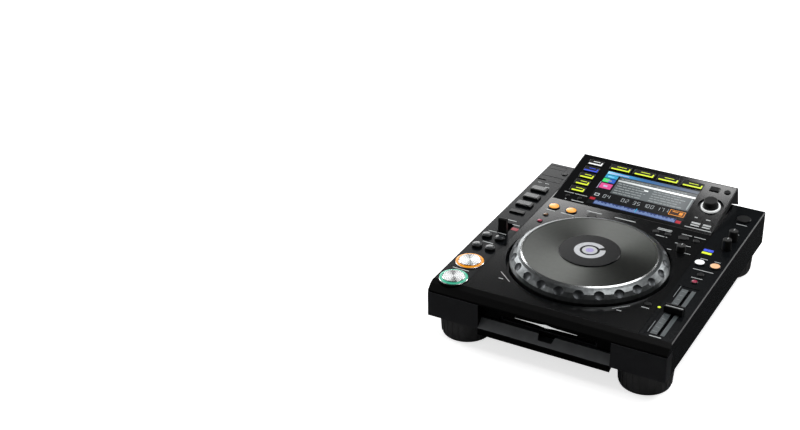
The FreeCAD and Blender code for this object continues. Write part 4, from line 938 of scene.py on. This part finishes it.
class FeetOperator(bpy.types.Operator):
    """Ribbed sleeves of the four rubber feet"""
    bl_idname = "player.feet"
    bl_label = "Feet"

    def execute(self, context):
        sleeve = self.sleeve()
        for index, (x, y) in enumerate(FEET):
            copy = twin(sleeve)
            copy.name = f"foot_sleeve_{index + 1}"
            put(copy, x, y, 0)
            done(copy, "moulded_rubber", "casing")
        bpy.data.objects.remove(sleeve)
        return {"FINISHED"}

    def sleeve(self):
        """One tapered sleeve, every other stretch of its outside raised to a rib."""
        foot, brim, inner = 4, 30, 33.4
        count = sizes().rib_count
        piece = turned("sleeve", [(32.4, 3.0), (32.8, 3.0), (34.75, 30.7), (34.3, 30.7),
                                  (32.4, 3.0)], 0, 0, count * 6)
        step = 360 / count
        in_edit_mode(piece, lambda middle: foot < middle.z < brim
                     and math.hypot(middle.x, middle.y) > inner
                     and degrees_round(middle) % step > step / 2)
        bpy.ops.mesh.extrude_region_shrink_fatten(
            TRANSFORM_OT_shrink_fatten={"value": sizes().rib_height})
        bpy.ops.object.mode_set(mode="OBJECT")
        return piece


class PlayerPanel(bpy.types.Panel):
    """Lists the steps that dress the player"""
    bl_idname = "VIEW3D_PT_disc_player"
    bl_label = "Disc player"
    bl_space_type = "VIEW_3D"
    bl_region_type = "UI"
    bl_category = "Disc player"

    def draw(self, context):
        for operator in OPERATORS:
            self.layout.operator(operator.bl_idname)
        for name in PlayerColours.__annotations__:
            self.layout.prop(context.scene.player_colours, name)
        for name in PlayerSizes.__annotations__:
            self.layout.prop(context.scene.player_sizes, name)


# The tables below hold places in millimetres.

# left, right, middle line and height of each printed bar on the deck
DECK_BARS = [
    (-143, -129, -8.0, 1.4), (-130, -120, -17.4, 1.4), (-152, -140, -46.5, 1.4),
    (-138, -126, -46.5, 1.4), (-146, -131, -76.0, 1.4), (-150, -127, -153.4, 1.4),
    (-108, -95, 43.2, 2.0), (-86, -67, 43.2, 2.0), (-57, -35, 64.6, 1.8), (-16, 14, 65.0, 1.8),
    (46, 66, 65.5, 1.6), (46, 66, 62.2, 1.6), (50, 62, 46.0, 1.4), (64, 66, 46.0, 1.4),
    (80, 94, 64.0, 1.2), (97, 113, 64.0, 1.2), (80, 84, 38.0, 1.2), (92, 102, 36.5, 1.2),
    (76, 82, 18.0, 1.2), (100, 108, 18.0, 1.2), (137, 148, 96.0, 1.2), (135, 150, 124.0, 1.2),
    (123, 133, 15.0, 1.2), (142, 150, 15.0, 1.2), (123, 150, -13.5, 1.2), (128, 143, -34.5, 1.2),
    (98, 108, -129.0, 1.4), (129, 144, -183.6, 1.6), (-86, -80, -150.0, 1.4),
    (74, 80, -150.0, 1.4), (-152, -146, 111.0, 1.2), (-141, -135, 111.0, 1.2),
    (-136, -130, 101.0, 1.2)]
# middle of each foot, and of each screw of the rear wall and of the floor
FEET = [(-122.3, -165.9), (122.3, -165.9), (-122.3, 139.0), (122.3, 139.0)]
REAR_SCREWS = [(-150, 66), (-150, 38), (150, 66), (150, 38), (-40, 38), (0, 66), (130, 38)]
FLOOR_SCREWS = [(-60, -150), (60, -150), (-60, 0), (60, 0), (-60, 140), (60, 140),
                (-145, -60), (145, -60), (-145, 40), (145, 40)]
# ends of each printed line
DECK_LINES = [(-90, -135, -70, -152), (85, -134, 68, -150)]
# left, right, middle and height of each printed bar on the display plate
DISPLAY_BARS = [
    (-105, -91, 20.0, 1.2), (-89, -71, 20.0, 1.2), (-98, -96, 5.0, 1.4), (-88, -70, 5.0, 1.4),
    (82, 94, 18.0, 3.6), (98, 109, 18.0, 3.6), (82, 94, 13.0, 2.4), (98, 109, 13.0, 2.4),
    (76, 113, 7.0, 1.4), (82, 86, 30.0, 2.0), (98, 104, 30.0, 2.0)]
# colour, strength and sweep from left to right of each tone of the picture
SCREEN_TONES = {
    "screen_night": ("#090b0e", 0.05, ()),
    "screen_title": ("#2c6c9e", 0.6, ((-0.066, "#8ad0ea"), (-0.045, "#3c8fc0"), (-0.01, "#2d5f92"),
                                      (0.03, "#465a76"), (0.069, "#5b6068"))),
    "screen_list": ("#5d6164", 0.45, ((-0.045, "#4b5052"), (0.0, "#5c6264"), (0.05, "#6a6e70"),
                                      (0.069, "#55595c"))),
    "screen_cyan": ("#2f8fb4", 0.55, ()), "screen_leaf": ("#38c96a", 0.55, ()),
    "screen_ocean": ("#2b58b4", 0.55, ()), "screen_pink": ("#c84a84", 0.55, ()),
    "screen_lilac": ("#b9b0d0", 0.45, ()), "screen_word": ("#93999a", 0.4, ()),
    "screen_white": ("#eef1f1", 0.7, ((-0.045, "#a4a8a8"), (0.0, "#d4d8d8"),
                                      (0.04, "#f4f6f6"), (0.069, "#e4e6e6"))),
    "screen_digit": ("#b2b8bb", 0.5, ()),
    "screen_umber": ("#3a200e", 0.4, ()), "screen_amber": ("#d98a35", 0.6, ()),
    "screen_depth": ("#2b3a68", 0.4, ()), "screen_wave": ("#7186b2", 0.42, ()),
    "screen_red": ("#a3202f", 0.5, ())}
# tone, left, right, low, high and layer of each area of the picture
SCREEN_AREAS = [
    ("screen_night", -67.5, 69.5, 7.5, 87.5, 0), ("screen_title", -66, 68.5, 80.2, 86.6, 1),
    ("screen_lilac", -64, -34, 82.4, 84.0, 2), ("screen_cyan", -66, -48, 71, 79, 1),
    ("screen_title", -62, -53, 73.5, 76, 2), ("screen_leaf", -66, -57, 61, 69.5, 1),
    ("screen_ocean", -57, -48, 61, 69.5, 1), ("screen_word", -62, -53, 64, 66.5, 2),
    ("screen_pink", -65, -48, 46, 58, 1), ("screen_lilac", -60, -54, 50, 54, 2),
    ("screen_lilac", -67.2, -66.4, 44, 60, 1), ("screen_list", -45, 68.5, 39, 79, 1),
    ("screen_white", -45, 68.5, 68.4, 72.2, 2), ("screen_white", -3, 3, 60, 63, 2),
    ("screen_word", 64.6, 66.6, 42, 66, 2), ("screen_digit", -64, -57, 27, 33, 1),
    ("screen_night", -62.8, -58.2, 28.2, 31.8, 2), ("screen_umber", 46, 68, 23.5, 35, 1),
    ("screen_amber", 46, 68, 34.2, 35, 2), ("screen_amber", 46, 68, 23.5, 24.6, 2),
    ("screen_amber", 46, 46.8, 23.5, 35, 2), ("screen_amber", 67.2, 68, 23.5, 35, 2),
    ("screen_amber", 50, 58, 31, 32.4, 2), ("screen_amber", 60, 65, 26.5, 32.4, 2),
    ("screen_depth", -58, 61, 8.6, 17.6, 1), ("screen_cyan", 2.4, 4, 11, 19, 3),
    ("screen_red", -66.5, -59, 17, 22, 1), ("screen_red", 61.5, 68.5, 9, 15, 1)]
# middle and value of each figure of the picture
SCREEN_DIGITS = [(-49, 0), (-43, 4), (-22, 0), (-16, 2), (-5, 3), (1, 5), (10, 1), (15, 0),
                 (21, 0), (30, 1), (36, 7), (42, 1)]
# place, width, trim at the left end and lens of each lit key
LIT_KEYS = {
    **{f"source_button_{n}": (-90.0, 113.5 - 16.5 * n, 22.0, trim, lens)
       for n, trim, lens in ((1, 1.6, "white_lens"), (2, 1.6, "blue_lens"), (3, 2.4, "lime_lens"),
                             (4, 3.2, "lime_lens"), (5, 4.0, "lime_lens"))},
    **{f"browse_button_{n}": (35.5 * n - 88.0, 97.0, 31.0, trim, "lime_lens")
       for n, trim in ((1, 3.0), (2, 3.0), (3, 3.0), (4, 3.4))}}
# place, rise, inlay radius and finish of each round button
BUTTON_INLAYS = {
    **{f"{pair}_{way}_button": (x, y, 3.5, 5.6, "grey_abs_inlay")
       for pair, y in (("track", -61.5), ("search", -90.5))
       for way, x in (("back", -147.0), ("forward", -128.0))},
    "loop_in_button": (-101.0, 53.5, 1.6, 6.9, "amber_glow"),
    "loop_out_button": (-75.3, 53.2, 1.6, 6.9, "amber_glow"),
    "slip_button": (-102.0, 28.0, 1.2, 3.1, "brown_lens"),
    "quantize_button": (-102.0, 8.5, 1.2, 3.1, "crimson_lens"),
    "master_tempo_button": (136.2, -45.0, 1.4, 3.4, "crimson_lens"),
    "sync_button": (126.3, 2.5, 1.8, 6.2, "white_lens"),
    "master_button": (147.0, 2.2, 1.8, 6.2, "peach_lens")}

OPERATORS = [StageOperator, FinishOperator, DeckPrintOperator, DisplayOperator, LitKeyOperator,
             TransportOperator, JogOperator, TempoOperator, KnobOperator, LampOperator,
             RearOperator, FeetOperator]
CLASSES = [PlayerColours, PlayerSizes, *OPERATORS, PlayerPanel]


def register():
    for entry in CLASSES:
        bpy.utils.register_class(entry)
    bpy.types.Scene.player_colours = bpy.props.PointerProperty(type=PlayerColours)
    bpy.types.Scene.player_sizes = bpy.props.PointerProperty(type=PlayerSizes)


def unregister():
    del bpy.types.Scene.player_sizes
    del bpy.types.Scene.player_colours
    for entry in reversed(CLASSES):
        bpy.utils.unregister_class(entry)


def main():
    register()
    bpy.ops.player.stage()
    bpy.ops.player.finishes()
    bpy.ops.player.deck_print()
    bpy.ops.player.display()
    bpy.ops.player.lit_keys()
    bpy.ops.player.transport()
    bpy.ops.player.jog()
    bpy.ops.player.tempo()
    bpy.ops.player.knobs()
    bpy.ops.player.lamps()
    bpy.ops.player.rear()
    bpy.ops.player.feet()


if __name__ == "__main__":
    main()
